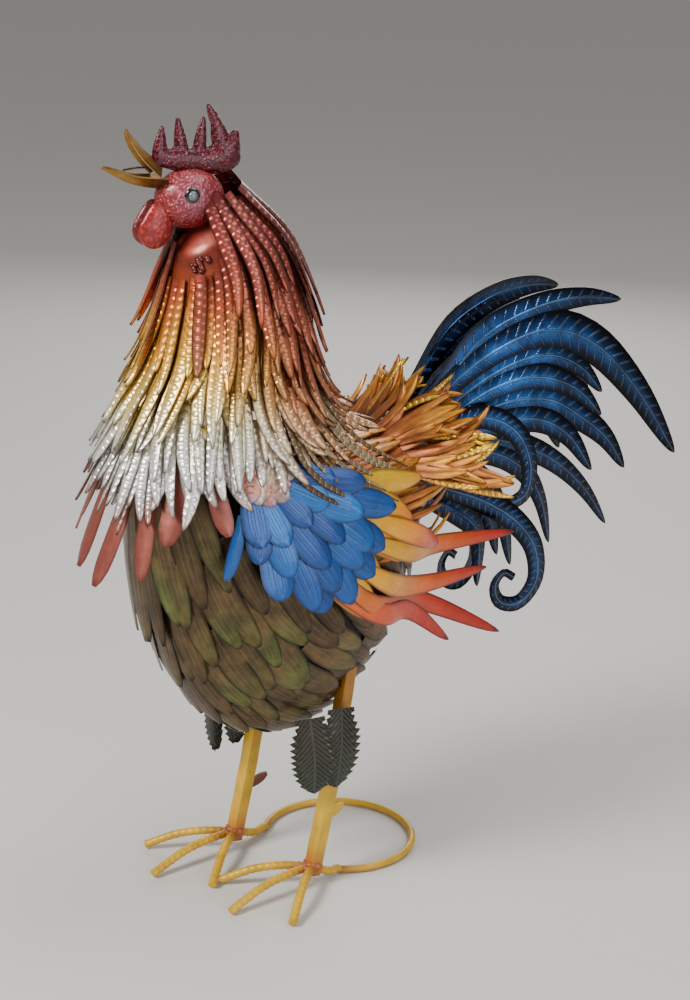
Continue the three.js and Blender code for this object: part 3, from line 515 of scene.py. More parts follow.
def grid_faces(rows: int, columns: int, offset: int = 0, closed: bool = False) -> Array:
    """Four-sided faces between the neighbours of a grid.

    Args:
        rows: points along.
        columns: points across.
        offset: index of the grid's first point.
        closed: whether the last column meets the first.

    Returns:
        Faces whose normal is across times along.
    """
    r = np.arange(rows - 1)[:, None]
    c = np.arange(columns if closed else columns - 1)[None, :]
    n = (c + 1) % columns
    quads = [r * columns + c, r * columns + n, (r + 1) * columns + n, (r + 1) * columns + c]
    return np.stack(np.broadcast_arrays(*quads), axis=-1).reshape(-1, 4) + offset


def shell_faces(rows: int, columns: int) -> Array:
    """Faces of a thin sheet: a grid, the same grid underneath, and the rim between them.

    Args:
        rows: points along.
        columns: points across.

    Returns:
        Faces for 2 * rows * columns points, the upper grid first.
    """
    size = rows * columns
    top = grid_faces(rows, columns)
    under = grid_faces(rows, columns, size)[:, ::-1]
    index = np.arange(size).reshape(rows, columns)
    border = np.concatenate([index[0, ::-1], index[1:, 0], index[-1, 1:], index[-2:0:-1, -1]])
    onwards = np.roll(border, -1)
    rim = np.stack([border, onwards, onwards + size, border + size], axis=-1)
    return np.vstack([top, under, rim])


# Colours from each point's place, its share across (-1 to 1) and along (0 to 1), and its sheet's seed
Colouring = Callable[[Array, Array, Array, Array], Array]


@dataclass(frozen=True)
class Cut:
    """How one kind of feather is cut out and pressed."""

    rows: int = 9
    columns: int = 5
    root: float = 0.72  # relative width where it starts
    widest: float = 0.35
    round_from: float = 0.6
    roundness: float = 2.2
    tip: float = 0.16
    crown: float = 1.2  # the middle stands this much above the edges, mm
    keel: float = 0.0  # height of a sharp fold along the middle, mm
    thickness: float = 0.5
    fringe: int = 0  # barbs cut into each edge
    fringe_depth: float = 0.0
    tapered: bool = False  # whether the section shrinks with the outline

    def stations(self) -> Array:
        """Shares of the length, closer together near the tip."""
        even = np.linspace(0, 1, self.rows)
        return even if self.fringe else 1 - (1 - even) ** 1.35

    def width(self, v: Array) -> Array:
        """Relative width of the outline.

        Args:
            v: shares of the length.

        Returns:
            Shares of the greatest width.
        """
        opening = self.root + (1 - self.root) * smoothstep(0, self.widest, v)
        past = np.clip((v - self.round_from) / (1 - self.round_from), 0, 1)
        rounded = np.sqrt(np.maximum(1 - past**self.roundness, 0))
        outline = opening * np.maximum(rounded, self.tip)
        if self.fringe:
            saw = (v * self.fringe) % 1.0
            outline = outline * (1 - self.fringe_depth * saw * (v > 0.06) * (v < 0.97))
        return outline


def sheet_batch(
    surface: Surface,
    cut: Cut,
    centre: Array,
    normal: Array,
    half_width: Array,
    colouring: Colouring,
    seed: Array,
    twist: Array | None = None,
) -> None:
    """Adds many feathers as thin closed sheets.

    Each sheet is its centre line, plus its across direction times u times the half width,
    plus its normal times the pressed section, for u from -1 to 1.

    Args:
        surface: where they are added.
        cut: their outline and section.
        centre: F by R by 3, points along each centre line.
        normal: F by R by 3, which way each faces.
        half_width: F, greatest half width in millimetres.
        colouring: gives linear colours from points, u, v and seed.
        seed: F, a number that differs from feather to feather.
        twist: F by R, radians turned about the centre line.
    """
    v = cut.stations()
    u = np.linspace(-1, 1, cut.columns)
    along = unit(np.gradient(centre, axis=1))
    across = unit(np.cross(along, normal))
    facing = np.cross(across, along)
    if twist is not None:
        cos, sin = np.cos(twist)[..., None], np.sin(twist)[..., None]
        across, facing = across * cos + facing * sin, facing * cos - across * sin
    half = half_width[:, None] * cut.width(v)[None, :]
    spread = half[..., None] * u
    section = (-cut.crown * u**2 - cut.keel * np.abs(u))[None, None, :]
    settle = (cut.width(v) if cut.tapered else 0.25 + 0.75 * smoothstep(0, 0.3, v))[None, :, None]
    top = (
        centre[:, :, None, :]
        + across[:, :, None, :] * spread[..., None]
        + facing[:, :, None, :] * (section * settle)[..., None]
    )
    under = top - facing[:, :, None, :] * cut.thickness
    count = len(centre)
    points = np.stack([top, under], axis=1)
    shape = points.shape[:-1]
    length = np.linalg.norm(np.diff(centre, axis=1), axis=-1)
    run = np.concatenate([np.zeros((count, 1)), np.cumsum(length, axis=1)], axis=1)
    grid_u = np.broadcast_to(u, shape)
    grid_v = np.broadcast_to(v[None, None, :, None], shape)
    grid_seed = np.broadcast_to(seed[:, None, None, None], shape)
    place = np.stack([grid_u, grid_v, grid_seed], axis=-1)
    reach = np.stack(
        [
            np.broadcast_to(spread[:, None], shape),
            np.broadcast_to(run[:, None, :, None], shape),
            np.broadcast_to(half[:, None, :, None], shape),
        ],
        axis=-1,
    )
    paint = colouring(points, grid_u, grid_v, grid_seed)
    size = 2 * cut.rows * cut.columns
    faces = shell_faces(cut.rows, cut.columns)[None] + (np.arange(count) * size)[:, None, None]
    surface.add(
        points.reshape(-1, 3),
        faces.reshape(-1, 4),
        place.reshape(-1, 3),
        reach.reshape(-1, 3),
        np.broadcast_to(paint, shape + (3,)).reshape(-1, 3),
    )


@dataclass(frozen=True)
class Layer:
    """One row of feathers laid on a carrier."""

    start: float
    length: float
    half_width: float
    count: int
    low: float  # degrees, first feather's side
    high: float
    lift: float = 2.0
    rise: float = 0.1
    flick: float = 0.0  # tips stand this much further out, mm
    drift: float = 3.0  # degrees that tips wander sideways
    twist: float = 8.0  # degrees that tips turn
    ragged: float = 0.1  # share that lengths differ
    wander: float = 0.22  # share of the pitch that roots wander
    stagger: float = 0.0  # mm that roots differ along the carrier
    stretch: Callable[[Array], Array] = np.ones_like


def lay(
    surface: Surface,
    carrier: Carrier,
    cut: Cut,
    layer: Layer,
    colouring: Colouring,
    rng: np.random.Generator,
    keep: Callable[[Array], Array] | None = None,
) -> None:
    """Lays a row of feathers on a carrier.

    Args:
        surface: where they are added.
        carrier: what they lie on.
        cut: their outline and section.
        layer: how they are laid.
        colouring: their paint.
        rng: seeded numbers.
        keep: tells from each feather's middle point whether it is there.
    """
    pitch = math.radians(layer.high - layer.low) / layer.count
    index = np.arange(layer.count)
    angle = math.radians(layer.low) + pitch * (index + 0.5)
    angle = angle + pitch * layer.wander * rng.uniform(-1, 1, layer.count)
    length = layer.length * layer.stretch(angle) * (1 + layer.ragged * rng.uniform(-1, 1, layer.count))
    drift = np.radians(layer.drift) * rng.uniform(-1, 1, layer.count)
    twist = np.radians(layer.twist) * rng.uniform(-1, 1, layer.count)
    flick = layer.flick * rng.uniform(0.2, 1.0, layer.count)
    step = 0.35 * rng.uniform(0, 1, layer.count)
    width = layer.half_width * (1 + 0.14 * rng.uniform(-1, 1, layer.count))
    seed = rng.uniform(0, 1, layer.count)
    start = layer.start + layer.stagger * rng.uniform(-1, 1, layer.count)
    if keep is not None:
        kept = keep(carrier.point(angle, start + 0.5 * length))
        angle, length, drift, twist, start = (x[kept] for x in (angle, length, drift, twist, start))
        flick, step, width, seed = (x[kept] for x in (flick, step, width, seed))
    if not len(angle):
        return
    v = cut.stations()[None, :]
    run = length[:, None] * v
    bearing = angle[:, None] + drift[:, None] * v**2
    point, normal = carrier.with_normal(bearing, start[:, None] + run)
    off = layer.lift + step[:, None] + layer.rise * run + flick[:, None] * v**2.5
    sheet_batch(
        surface, cut, point + normal * off[..., None], normal, width, colouring, seed, twist[:, None] * v
    )


def ribbon(
    surface: Surface,
    cut: Cut,
    paths: Sequence[SmoothPath],
    facing: Sequence[float],
    half_width: Sequence[float],
    colouring: Colouring,
    rng: np.random.Generator,
    bow: float = 0.0,
) -> None:
    """Adds single long feathers along paths.

    Args:
        surface: where they are added.
        cut: their outline and section.
        paths: centre lines, in the bird's millimetres.
        facing: which way the flat side faces.
        half_width: greatest half width of each.
        colouring: their paint.
        rng: seeded numbers.
        bow: how far the middle of the length stands out, mm.
    """
    v = cut.stations()
    centre = np.stack([path.at(v) for path in paths])
    side = unit(np.asarray(facing, float))
    normal = np.broadcast_to(side, centre.shape)
    centre = centre + normal * (bow * np.sin(np.pi * v))[None, :, None]
    seed = rng.uniform(0, 1, len(paths))
    sheet_batch(surface, cut, centre, normal, np.asarray(half_width, float), colouring, seed)


def tube(
    surface: Surface,
    path: SmoothPath,
    radius: Callable[[Array, Array], Array],
    rows: int,
    columns: int,
    colouring: Colouring,
    up: Sequence[float] = (0, 0, 1),
) -> None:
    """Adds a closed rod along a path: rings of a given radius, shut at both ends.

    Args:
        surface: where it is added.
        path: its centre line.
        radius: millimetres, from the angle round the rod and the millimetres along it.
        rows: rings along.
        columns: points in a ring.
        colouring: its paint.
        up: a direction that is never along the path.
    """
    share = np.linspace(0, 1, rows)
    centre = path.at(share)
    along = unit(np.gradient(centre, axis=0))
    side = unit(np.cross(along, np.asarray(up, float)))
    top = np.cross(side, along)
    angle = np.linspace(0, 2 * math.pi, columns, endpoint=False)
    size = radius(angle[None, :], share[:, None] * path.length)
    size = np.broadcast_to(size, (rows, columns))
    direction = side[:, None] * np.cos(angle)[None, :, None] - top[:, None] * np.sin(angle)[None, :, None]
    ring = centre[:, None] + direction * size[..., None]
    near = ring[:1] * 0.55 + centre[0] * 0.45 - along[0] * 0.35
    far = ring[-1:] * 0.55 + centre[-1] * 0.45 + along[-1] * 0.35
    ring = np.concatenate([near, ring, far])
    share = np.concatenate([[0], share, [1]])
    poles = np.stack([centre[0] - along[0] * 0.4, centre[-1] + along[-1] * 0.4])
    close_and_add(surface, ring, poles, share, path.length, float(size.mean()), colouring)


def close_and_add(
    surface: Surface,
    ring: Array,
    poles: Array,
    share: Array,
    length: float,
    half: float,
    colouring: Colouring,
) -> None:
    """Adds a stack of rings shut with a point at each end.

    Args:
        surface: where it is added.
        ring: R by C by 3 points, C an even number.
        poles: the two end points.
        share: R, how far along each ring is.
        length: millimetres along.
        half: a typical half width.
        colouring: its paint.
    """
    rows, columns = ring.shape[:2]
    points = np.vstack([ring.reshape(-1, 3), poles])
    faces = grid_faces(rows, columns, closed=True)
    c = np.arange(0, columns, 2)
    first, last = rows * columns, rows * columns + 1
    base = (rows - 1) * columns
    near = np.stack([np.full_like(c, first), (c + 2) % columns, (c + 1) % columns, c], axis=-1)
    far = np.stack(
        [np.full_like(c, last), base + c, base + (c + 1) % columns, base + (c + 2) % columns], axis=-1
    )
    u = np.broadcast_to(np.linspace(-1, 1, columns)[None, :], (rows, columns)).ravel()
    v = np.broadcast_to(share[:, None], (rows, columns)).ravel()
    u, v = np.concatenate([u, [0, 0]]), np.concatenate([v, [0, 1]])
    seed = np.full_like(u, 0.37)
    place = np.stack([u, v, seed], axis=-1)
    reach = np.stack([u * half, v * length, np.full_like(u, half)], axis=-1)
    paint = np.broadcast_to(colouring(points, u, v, seed), points.shape)
    faces = np.vstack([faces, near, far])
    corner = [points[faces[:, n]] - points.mean(axis=0) for n in range(4)]
    volume = np.sum(
        corner[0] * np.cross(corner[1], corner[2])
    ) + np.sum(corner[0] * np.cross(corner[2], corner[3]))
    surface.add(points, faces if volume > 0 else faces[:, ::-1], place, reach, paint)


def ball(
    surface: Surface,
    shape: Callable[[Array, Array], Array],
    rows: int,
    columns: int,
    colouring: Colouring,
    half: float,
) -> None:
    """Adds a closed rounded body: a function of longitude and latitude, with a point at each pole.

    Args:
        surface: where it is added.
        shape: points from the longitude and the latitude in radians.
        rows: rings between the poles.
        columns: points in a ring, an even number.
        colouring: its paint.
        half: a typical half width.
    """
    latitude = np.linspace(-0.5, 0.5, rows + 2)[1:-1] * math.pi
    longitude = np.linspace(0, 2 * math.pi, columns, endpoint=False)
    ring = shape(longitude[None, :] + 0 * latitude[:, None], latitude[:, None] + 0 * longitude[None, :])
    zero = np.zeros(1)
    poles = np.vstack([shape(zero, zero - 0.5 * math.pi), shape(zero, zero + 0.5 * math.pi)])
    share = (latitude + 0.5 * math.pi) / math.pi
    close_and_add(surface, ring, poles, share, 3.14 * half, half, colouring)


# Finishes


class Emboss(Enum):
    """What is pressed into a sheet."""

    PLAIN = "plain"
    BEADS = "beads"
    BARBS = "barbs"
    LINES = "lines"
    VEINS = "veins"
    PINNATE = "pinnate"


class Graph:
    """A short way to write a material's nodes."""

    def __init__(self, name: str) -> None:
        """Starts an empty material.

        Args:
            name: the material's name.
        """
        self.material = bpy.data.materials.new(name)
        self.material.use_nodes = True
        self.tree = self.material.node_tree
        self.tree.nodes.clear()
        self.shader = self.add("ShaderNodeBsdfPrincipled")
        output = self.add("ShaderNodeOutputMaterial")
        self.tree.links.new(self.shader.outputs["BSDF"], output.inputs["Surface"])

    def add(self, kind: str, **settings: object) -> bpy.types.Node:
        """Adds a node.

        Args:
            kind: its type.
            settings: properties to set.

        Returns:
            The node.
        """
        node = self.tree.nodes.new(kind)
        for key, value in settings.items():
            setattr(node, key, value)
        return node

    def feed(self, socket: Socket, value: object) -> None:
        """Links or sets an input.

        Args:
            socket: the input.
            value: another node's output, or a plain value.
        """
        if isinstance(value, Socket):
            self.tree.links.new(value, socket)
        else:
            socket.default_value = value

    def math(self, operation: str, *values: object, clamp: bool = False) -> Socket:
        """Adds a sum.

        Args:
            operation: Blender's name for it.
            values: its inputs.
            clamp: whether the result is kept between 0 and 1.

        Returns:
            The result.
        """
        node = self.add("ShaderNodeMath", operation=operation, use_clamp=clamp)
        for socket, value in zip(node.inputs, values):
            self.feed(socket, value)
        return node.outputs[0]

    def times(self, first: object, second: object) -> Socket:
        """One value times another."""
        return self.math("MULTIPLY", first, second)

    def step(self, low: float, high: float, value: object) -> Socket:
        """Eases from 0 at low to 1 at high, or the other way if low is above high.

        Args:
            low: where it is 0.
            high: where it is 1.
            value: the value that is eased.

        Returns:
            The eased value.
        """
        node = self.add("ShaderNodeMapRange", interpolation_type="SMOOTHSTEP")
        flip = low > high
        self.feed(node.inputs["Value"], value)
        self.feed(node.inputs["From Min"], high if flip else low)
        self.feed(node.inputs["From Max"], low if flip else high)
        self.feed(node.inputs["To Min"], 1.0 if flip else 0.0)
        self.feed(node.inputs["To Max"], 0.0 if flip else 1.0)
        return node.outputs["Result"]

    def attribute(self, name: str) -> bpy.types.Node:
        """Reads one of the mesh's own attributes."""
        return self.add("ShaderNodeAttribute", attribute_name=name, attribute_type="GEOMETRY")

    def split(self, vector: Socket) -> bpy.types.NodeOutputs:
        """Takes a vector apart.

        Args:
            vector: the vector.

        Returns:
            Its x, y and z.
        """
        node = self.add("ShaderNodeSeparateXYZ")
        self.feed(node.inputs[0], vector)
        return node.outputs

    def join(self, x: object, y: object, z: object) -> Socket:
        """Makes a vector.

        Args:
            x, y, z: its parts.

        Returns:
            The vector.
        """
        node = self.add("ShaderNodeCombineXYZ")
        for socket, value in zip(node.inputs, (x, y, z)):
            self.feed(socket, value)
        return node.outputs[0]

    def object_place(self) -> Socket:
        """The point in the piece's own metres."""
        return self.add("ShaderNodeTexCoord").outputs["Object"]

    def noise(
        self, vector: object, scale: float, detail: float = 3.0, roughness: float = 0.55
    ) -> Socket:
        """Cloudy noise of 0 to 1.

        Args:
            vector: where it is read.
            scale: clouds to a metre.
            detail: how many finer layers it has.
            roughness: how strong those are.

        Returns:
            The noise.
        """
        node = self.add("ShaderNodeTexNoise")
        self.feed(node.inputs["Vector"], vector)
        node.inputs["Scale"].default_value = scale
        node.inputs["Detail"].default_value = detail
        node.inputs["Roughness"].default_value = roughness
        return node.outputs["Fac"]

    def cells(self, vector: object, scale: float, smooth: float = 0.6) -> Socket:
        """Distance to the nearest of many scattered points.

        Args:
            vector: where it is read.
            scale: points to a metre.
            smooth: how softly the cells meet.

        Returns:
            The distance.
        """
        node = self.add("ShaderNodeTexVoronoi", feature="SMOOTH_F1")
        self.feed(node.inputs["Vector"], vector)
        node.inputs["Scale"].default_value = scale
        node.inputs["Smoothness"].default_value = smooth
        return node.outputs["Distance"]

    def mix(self, share: object, first: object, second: object, blend: str = "MIX") -> Socket:
        """Mixes two colours.

        Args:
            share: how much of the second.
            first, second: the colours.
            blend: how they are mixed.

        Returns:
            The mixed colour.
        """
        node = self.add("ShaderNodeMix", data_type="RGBA", blend_type=blend, clamp_factor=True)
        self.feed(node.inputs[0], share)
        self.feed(node.inputs[6], first)
        self.feed(node.inputs[7], second)
        return node.outputs[2]

    def math_vector(self, vector: object, wobble: object) -> Socket:
        """Moves a vector a little by a value, so that a pattern isn't too even.

        Args:
            vector: the vector.
            wobble: the value.

        Returns:
            The moved vector.
        """
        node = self.add("ShaderNodeVectorMath", operation="MULTIPLY_ADD")
        self.feed(node.inputs[0], self.join(wobble, wobble, wobble))
        self.feed(node.inputs[1], (0.004, -0.003, 0.004))
        self.feed(node.inputs[2], vector)
        return node.outputs[0]

    def grey(self, value: object) -> Socket:
        """A grey colour from a value."""
        return self.join(value, value, value)

    def bump(
        self, height: object, distance: float, strength: float, normal: object = None
    ) -> Socket:
        """Relief.

        Args:
            height: 0 to 1.
            distance: metres that a height of 1 stands out.
            strength: how strongly it shows.
            normal: relief that it is added to.

        Returns:
            The bent normal.
        """
        node = self.add("ShaderNodeBump")
        node.inputs["Strength"].default_value = strength
        node.inputs["Distance"].default_value = distance
        self.feed(node.inputs["Height"], height)
        if normal is not None:
            self.feed(node.inputs["Normal"], normal)
        return node.outputs[0]


def rgba(colour: Sequence[float]) -> tuple[float, float, float, float]:
    """A display colour as a node's value."""
    red, green, blue = linear(colour)
    return (float(red), float(green), float(blue), 1.0)


@dataclass(frozen=True)
class Finish:
    """A paint whose colour is in the mesh's own paint attribute."""

    name: str
    metallic: float = 0.6
    roughness: float = 0.34
    emboss: Emboss = Emboss.PLAIN
    pitch: float = 6.5  # mm between pressed marks
    depth: float = 0.9  # mm that they stand out
    edge: float = 0.45  # how dark the cut edges are
    mottle: float = 0.25  # how much the paint varies
    streak: float = 0.2
    coat: float = 0.15
    raised_highlight: float = 0.25  # how much lighter the raised pressed lines are painted, as a painted highlight
    speck: tuple[float, float, float] = (40, 30, 22)

    def height(self, graph: Graph) -> Socket | None:
        """Builds the pressed pattern's height.

        Args:
            graph: the material's nodes.

        Returns:
            A height of 0 to 1, or None where nothing is pressed.
        """
        u, v, _ = graph.split(graph.attribute("place").outputs["Vector"])
        across, along, half = graph.split(graph.attribute("reach").outputs["Vector"])
        side = graph.math("ABSOLUTE", across)
        inner = graph.step(0.04, 0.12, v)
        if self.emboss is Emboss.PLAIN:
            return None
        if self.emboss is Emboss.BEADS:
            turn = graph.math("SUBTRACT", graph.math("FRACT", graph.math("DIVIDE", along, self.pitch)), 0.5)
            lengthways = graph.math(
                "POWER", graph.times(graph.math("ABSOLUTE", turn), self.pitch / 2.6), 2.0
            )
            sideways = graph.math("POWER", graph.math("DIVIDE", side, 4.0), 2.0)
            dot = graph.step(1.3, 0.0, graph.math("ADD", lengthways, sideways))
            return graph.times(dot, graph.times(inner, graph.step(0.93, 0.8, v)))
        if self.emboss is Emboss.LINES or self.emboss is Emboss.VEINS:
            share = graph.math("ABSOLUTE", u)
            wide = 0.085 if self.emboss is Emboss.LINES else 0.04
            middle = graph.step(wide + 0.05, wide, share)
            outer = graph.step(
                wide + 0.05, wide, graph.math("ABSOLUTE", graph.math("SUBTRACT", share, 0.42))
            )
            both = graph.math("MAXIMUM", middle, graph.times(outer, 0.8))
            return graph.times(both, graph.times(inner, graph.step(0.9, 0.78, v)))
        slant = 1.1 if self.emboss is Emboss.PINNATE else 0.75
        behind = graph.math("SUBTRACT", along, graph.times(side, slant))
        turn = graph.math("SUBTRACT", graph.math("FRACT", graph.math("DIVIDE", behind, self.pitch)), 0.5)
        gap = graph.times(graph.math("ABSOLUTE", turn), self.pitch)
        rib = graph.step(1.5, 0.5, side)
        if self.emboss is Emboss.PINNATE:
            barb = graph.times(graph.step(0.5 * self.pitch, 0.1 * self.pitch, gap), 0.75)
            return graph.math("MAXIMUM", rib, barb)
        barb = graph.step(1.5, 0.5, gap)
        reach = graph.step(0.82, 0.55, graph.math("DIVIDE", side, graph.math("MAXIMUM", half, 0.5)))
        return graph.math("MAXIMUM", rib, graph.times(barb, graph.times(reach, graph.step(1.6, 2.4, side))))

    def material(self) -> bpy.types.Material:
        """Builds the material, or finds it if another piece already has it.

        Returns:
            The material.
        """
        found = bpy.data.materials.get(self.name)
        if found is not None:
            return found
        graph = Graph(self.name)
        graph.shader.inputs["Metallic"].default_value = self.metallic
        graph.shader.inputs["Coat Weight"].default_value = self.coat
        self.paint_nodes(graph)
        return graph.material

    def paint_nodes(self, g: Graph) -> None:
        """Adds the colour, the sheen, a painted highlight on the raised pressed marks and the dents of
        pressed sheet.

        Args:
            g: the material's nodes.
        """
        u, v, seed = g.split(g.attribute("place").outputs["Vector"])
        across, along, _ = g.split(g.attribute("reach").outputs["Vector"])
        point = g.object_place()
        paint = g.attribute("paint").outputs["Color"]
        cloud = g.noise(point, 55.0, 4.0)
        wash = g.step(0.3, 0.7, cloud)
        dim = g.math("MULTIPLY_ADD", wash, self.mottle, 1.0 - 0.55 * self.mottle)
        lengthways = g.join(g.times(across, 0.6), g.times(along, 0.06), g.times(seed, 91.0))
        streak = g.noise(lengthways, 1.0, 3.0, 0.6)
        stripe = g.math("MULTIPLY_ADD", g.step(0.32, 0.68, streak), self.streak, 1.0 - 0.5 * self.streak)
        each = g.math("MULTIPLY_ADD", seed, 0.22, 0.89)
        shade = g.times(g.times(dim, stripe), each)
        colour = g.mix(1.0, paint, g.grey(shade), "MULTIPLY")
        rim = g.step(0.66, 1.0, g.math("ABSOLUTE", u))
        tip = g.step(0.93, 1.0, v)
        border = g.times(g.math("MAXIMUM", rim, tip), self.edge)
        colour = g.mix(border, colour, g.mix(1.0, colour, rgba((70, 56, 50)), "MULTIPLY"))
        height = self.height(g)
        # painted highlight: the raised pressed marks are mixed towards white
        if height is not None:
            colour = g.mix(
                g.times(height, self.raised_highlight), colour, g.mix(0.5, colour, (1.0, 1.0, 1.0, 1.0))
            )
        dirt = g.step(0.66, 0.76, g.noise(point, 420.0, 5.0, 0.7))
        colour = g.mix(g.times(dirt, 0.5), colour, rgba(self.speck))
        g.feed(g.shader.inputs["Base Color"], colour)
        rough = g.math("MULTIPLY_ADD", g.noise(point, 160.0, 4.0), 0.3, self.roughness - 0.15)
        g.feed(
            g.shader.inputs["Roughness"], g.math("MAXIMUM", g.math("ADD", rough, g.times(dirt, 0.2)), 0.08)
        )
        g.shader.inputs["Coat Roughness"].default_value = 0.18
        dents = g.bump(g.noise(point, 38.0, 2.0), 0.0016, 0.6)
        peel = g.bump(g.noise(point, 900.0, 3.0), 0.00012, 0.5, dents)
        normal = peel if height is None else g.bump(height, self.depth / PER_METRE, 1.0, peel)
        g.feed(g.shader.inputs["Normal"], normal)


@dataclass(frozen=True)
class Pebbled(Finish):
    """A cast-looking skin of close round pebbles under glossy paint."""

    grain: float = 260.0  # pebbles to a metre
    relief: float = 1.1  # mm
    # the deep tone for the cloudy variation, also used as painted shade between the pebbles
    deep_tone_and_shade: tuple[float, float, float] = (40, 10, 20)
    # painted highlight colour on the pebbles' crests
    crest_highlight: tuple[float, float, float] = (205, 120, 120)

    def paint_nodes(self, g: Graph) -> None:
        """Adds the colour, painted shade between the pebbles, a painted highlight on their crests, the
        sheen and the pebbles, from the piece's own metres.

        Args:
            g: the material's nodes.
        """
        point = g.object_place()
        warp = g.noise(point, 90.0, 2.0)
        cell = g.cells(g.math_vector(point, warp), self.grain)
        pebble = g.step(0.62, 0.12, cell)
        cloud = g.noise(point, 70.0, 4.0)
        paint = g.attribute("paint").outputs["Color"]
        colour = g.mix(g.times(g.step(0.35, 0.75, cloud), 0.2), paint, rgba(self.deep_tone_and_shade))
        # painted shade: the gaps between the pebbles are mixed towards the deep tone
        colour = g.mix(g.times(g.step(0.45, 0.0, pebble), 0.6), colour, rgba(self.deep_tone_and_shade))
        # painted highlight on the pebbles' crests
        painted_crest_highlight = g.times(g.step(0.75, 1.0, pebble), self.raised_highlight)
        colour = g.mix(painted_crest_highlight, colour, rgba(self.crest_highlight))
        g.feed(g.shader.inputs["Base Color"], colour)
        g.feed(g.shader.inputs["Roughness"], g.math("MULTIPLY_ADD", cloud, 0.25, self.roughness - 0.12))
        g.shader.inputs["Coat Roughness"].default_value = 0.15
        fine = g.bump(g.noise(point, 800.0, 3.0), 0.00015, 0.6)
        g.feed(g.shader.inputs["Normal"], g.bump(pebble, self.relief / PER_METRE, 1.0, fine))


# Paint colours

HACKLE_FRONT = Ramp(
    (330, 350, 368, 388, 412, 432, 456, 480, 504, 528, 552, 590),
    (
        (178, 104, 92), (190, 152, 142), (220, 214, 210), (244, 242, 238), (252, 244, 214), (252, 222, 130),
        (246, 188, 64), (228, 148, 44), (198, 92, 34), (166, 62, 36), (142, 50, 42), (120, 42, 40),
    ),
)
HACKLE_BACK = Ramp(
    (330, 360, 392, 420, 452, 490, 540, 590),
    (
        (118, 92, 84), (164, 138, 122), (206, 172, 130), (204, 138, 92), (182, 100, 62), (156, 74, 48),
        (134, 54, 40), (118, 44, 38),
    ),
)
QUILL_WARM = Ramp(
    (0, 0.35, 0.6, 0.82, 1), ((244, 186, 14), (240, 152, 12), (228, 98, 20), (200, 48, 22), (166, 26, 22))
)
QUILL_RED = Ramp(
    (0, 0.06, 0.3, 0.6, 1), ((240, 220, 204), (230, 120, 26), (222, 88, 20), (204, 54, 22), (166, 26, 22))
)
QUILL_YELLOW = Ramp((0, 0.6, 1), ((240, 190, 12), (240, 176, 10), (226, 116, 14)))
SADDLE_COPPER = Ramp((0, 0.35, 0.7, 1), ((140, 70, 36), (186, 104, 54), (204, 126, 52), (222, 150, 48)))
SADDLE_GOLD = Ramp((0, 0.4, 1), ((176, 96, 30), (224, 156, 32), (246, 200, 48)))
TAIL_ACROSS = Ramp((0, 0.35, 0.7, 0.92), ((62, 128, 200), (34, 88, 160), (14, 38, 72), (4, 8, 16)))
LONE_BROWN = Ramp((0, 0.5, 1), ((150, 62, 40), (170, 84, 56), (190, 120, 84)))
YELLOW_LEG = Ramp(
    (0, 16, 32, 70, 150), ((140, 52, 22), (186, 112, 20), (208, 160, 22), (214, 172, 28), (170, 112, 24))
)


def flat(colour: Sequence[float], vary: float = 0.1) -> Colouring:
    """One paint colour, a little lighter or darker from piece to piece.

    Args:
        colour: display colour.
        vary: greatest change.

    Returns:
        The colouring.
    """

    def paint(points: Array, u: Array, v: Array, seed: Array) -> Array:
        """The colour, a little lighter or darker on each sheet."""
        return linear(colour) * (1 + vary * (2 * seed[..., None] - 1))

    return paint


def along_length(ramp: Ramp, vary: float = 0.12) -> Colouring:
    """Paint that changes from the root to the tip.

    Args:
        ramp: read by the share of the length.
        vary: how much earlier or later the change comes, from feather to feather.

    Returns:
        The colouring.
    """

    def paint(points: Array, u: Array, v: Array, seed: Array) -> Array:
        """The ramp's colour, a little further along on some sheets."""
        return ramp.at(v + vary * (2 * seed - 1))

    return paint


def hackle_paint(points: Array, u: Array, v: Array, seed: Array) -> Array:
    """The neck's sprayed bands: red at the head, gold, then silver, browner behind, with painted shade
    towards each strip's root.

    Args:
        points, u, v, seed: what every Colouring takes.

    Returns:
        The colour of every point.
    """
    height = points[..., 2] + 22 * (seed - 0.5)
    bearing = np.abs(np.degrees(np.arctan2(points[..., 0], -(points[..., 1] + 52))))
    behind = smoothstep(52, 100, bearing)[..., None]
    colour = HACKLE_FRONT.at(height) * (1 - behind) + HACKLE_BACK.at(height) * behind
    rosy = np.clip(1 - np.abs(bearing - 62) / 34, 0, 1)[..., None] * 0.35
    upper = height[..., None] > 430
    colour = colour * (1 - rosy) + linear((196, 112, 96)) * rosy * upper + colour * rosy * ~upper
    # painted shade: darker towards each strip's root, where the rows overlap
    return colour * (0.72 + 0.28 * smoothstep(0.0, 0.3, v))[..., None]


def salmon_paint(points: Array, u: Array, v: Array, seed: Array) -> Array:
    """The lowest neck strips: silver at the root and plain salmon below."""
    share = smoothstep(0.1, 0.45, v)[..., None]
    return linear((170, 130, 120)) * (1 - share) + linear((148, 78, 66)) * share


def body_paint(points: Array, u: Array, v: Array, seed: Array) -> Array:
    """Dark bronze with green breathed over some tips and a redder flank.

    Args:
        points, u, v, seed: what every Colouring takes.

    Returns:
        The colour of every point.
    """
    base = linear((92, 72, 42)) * (0.65 + 0.6 * seed[..., None])
    red = smoothstep(-30, 90, points[..., 1])[..., None] * 0.5
    base = base * (1 - red) + linear((100, 66, 48)) * red
    green = (
        smoothstep(0.35, 0.8, v) * smoothstep(0.35, 0.8, seed) * smoothstep(90, -60, points[..., 1])
    )[..., None]
    green = green * (0.55 + 0.45 * smoothstep(0.1, 0.7, np.abs(u))[..., None])
    return base * (1 - 0.7 * green) + linear((78, 104, 44)) * 0.7 * green


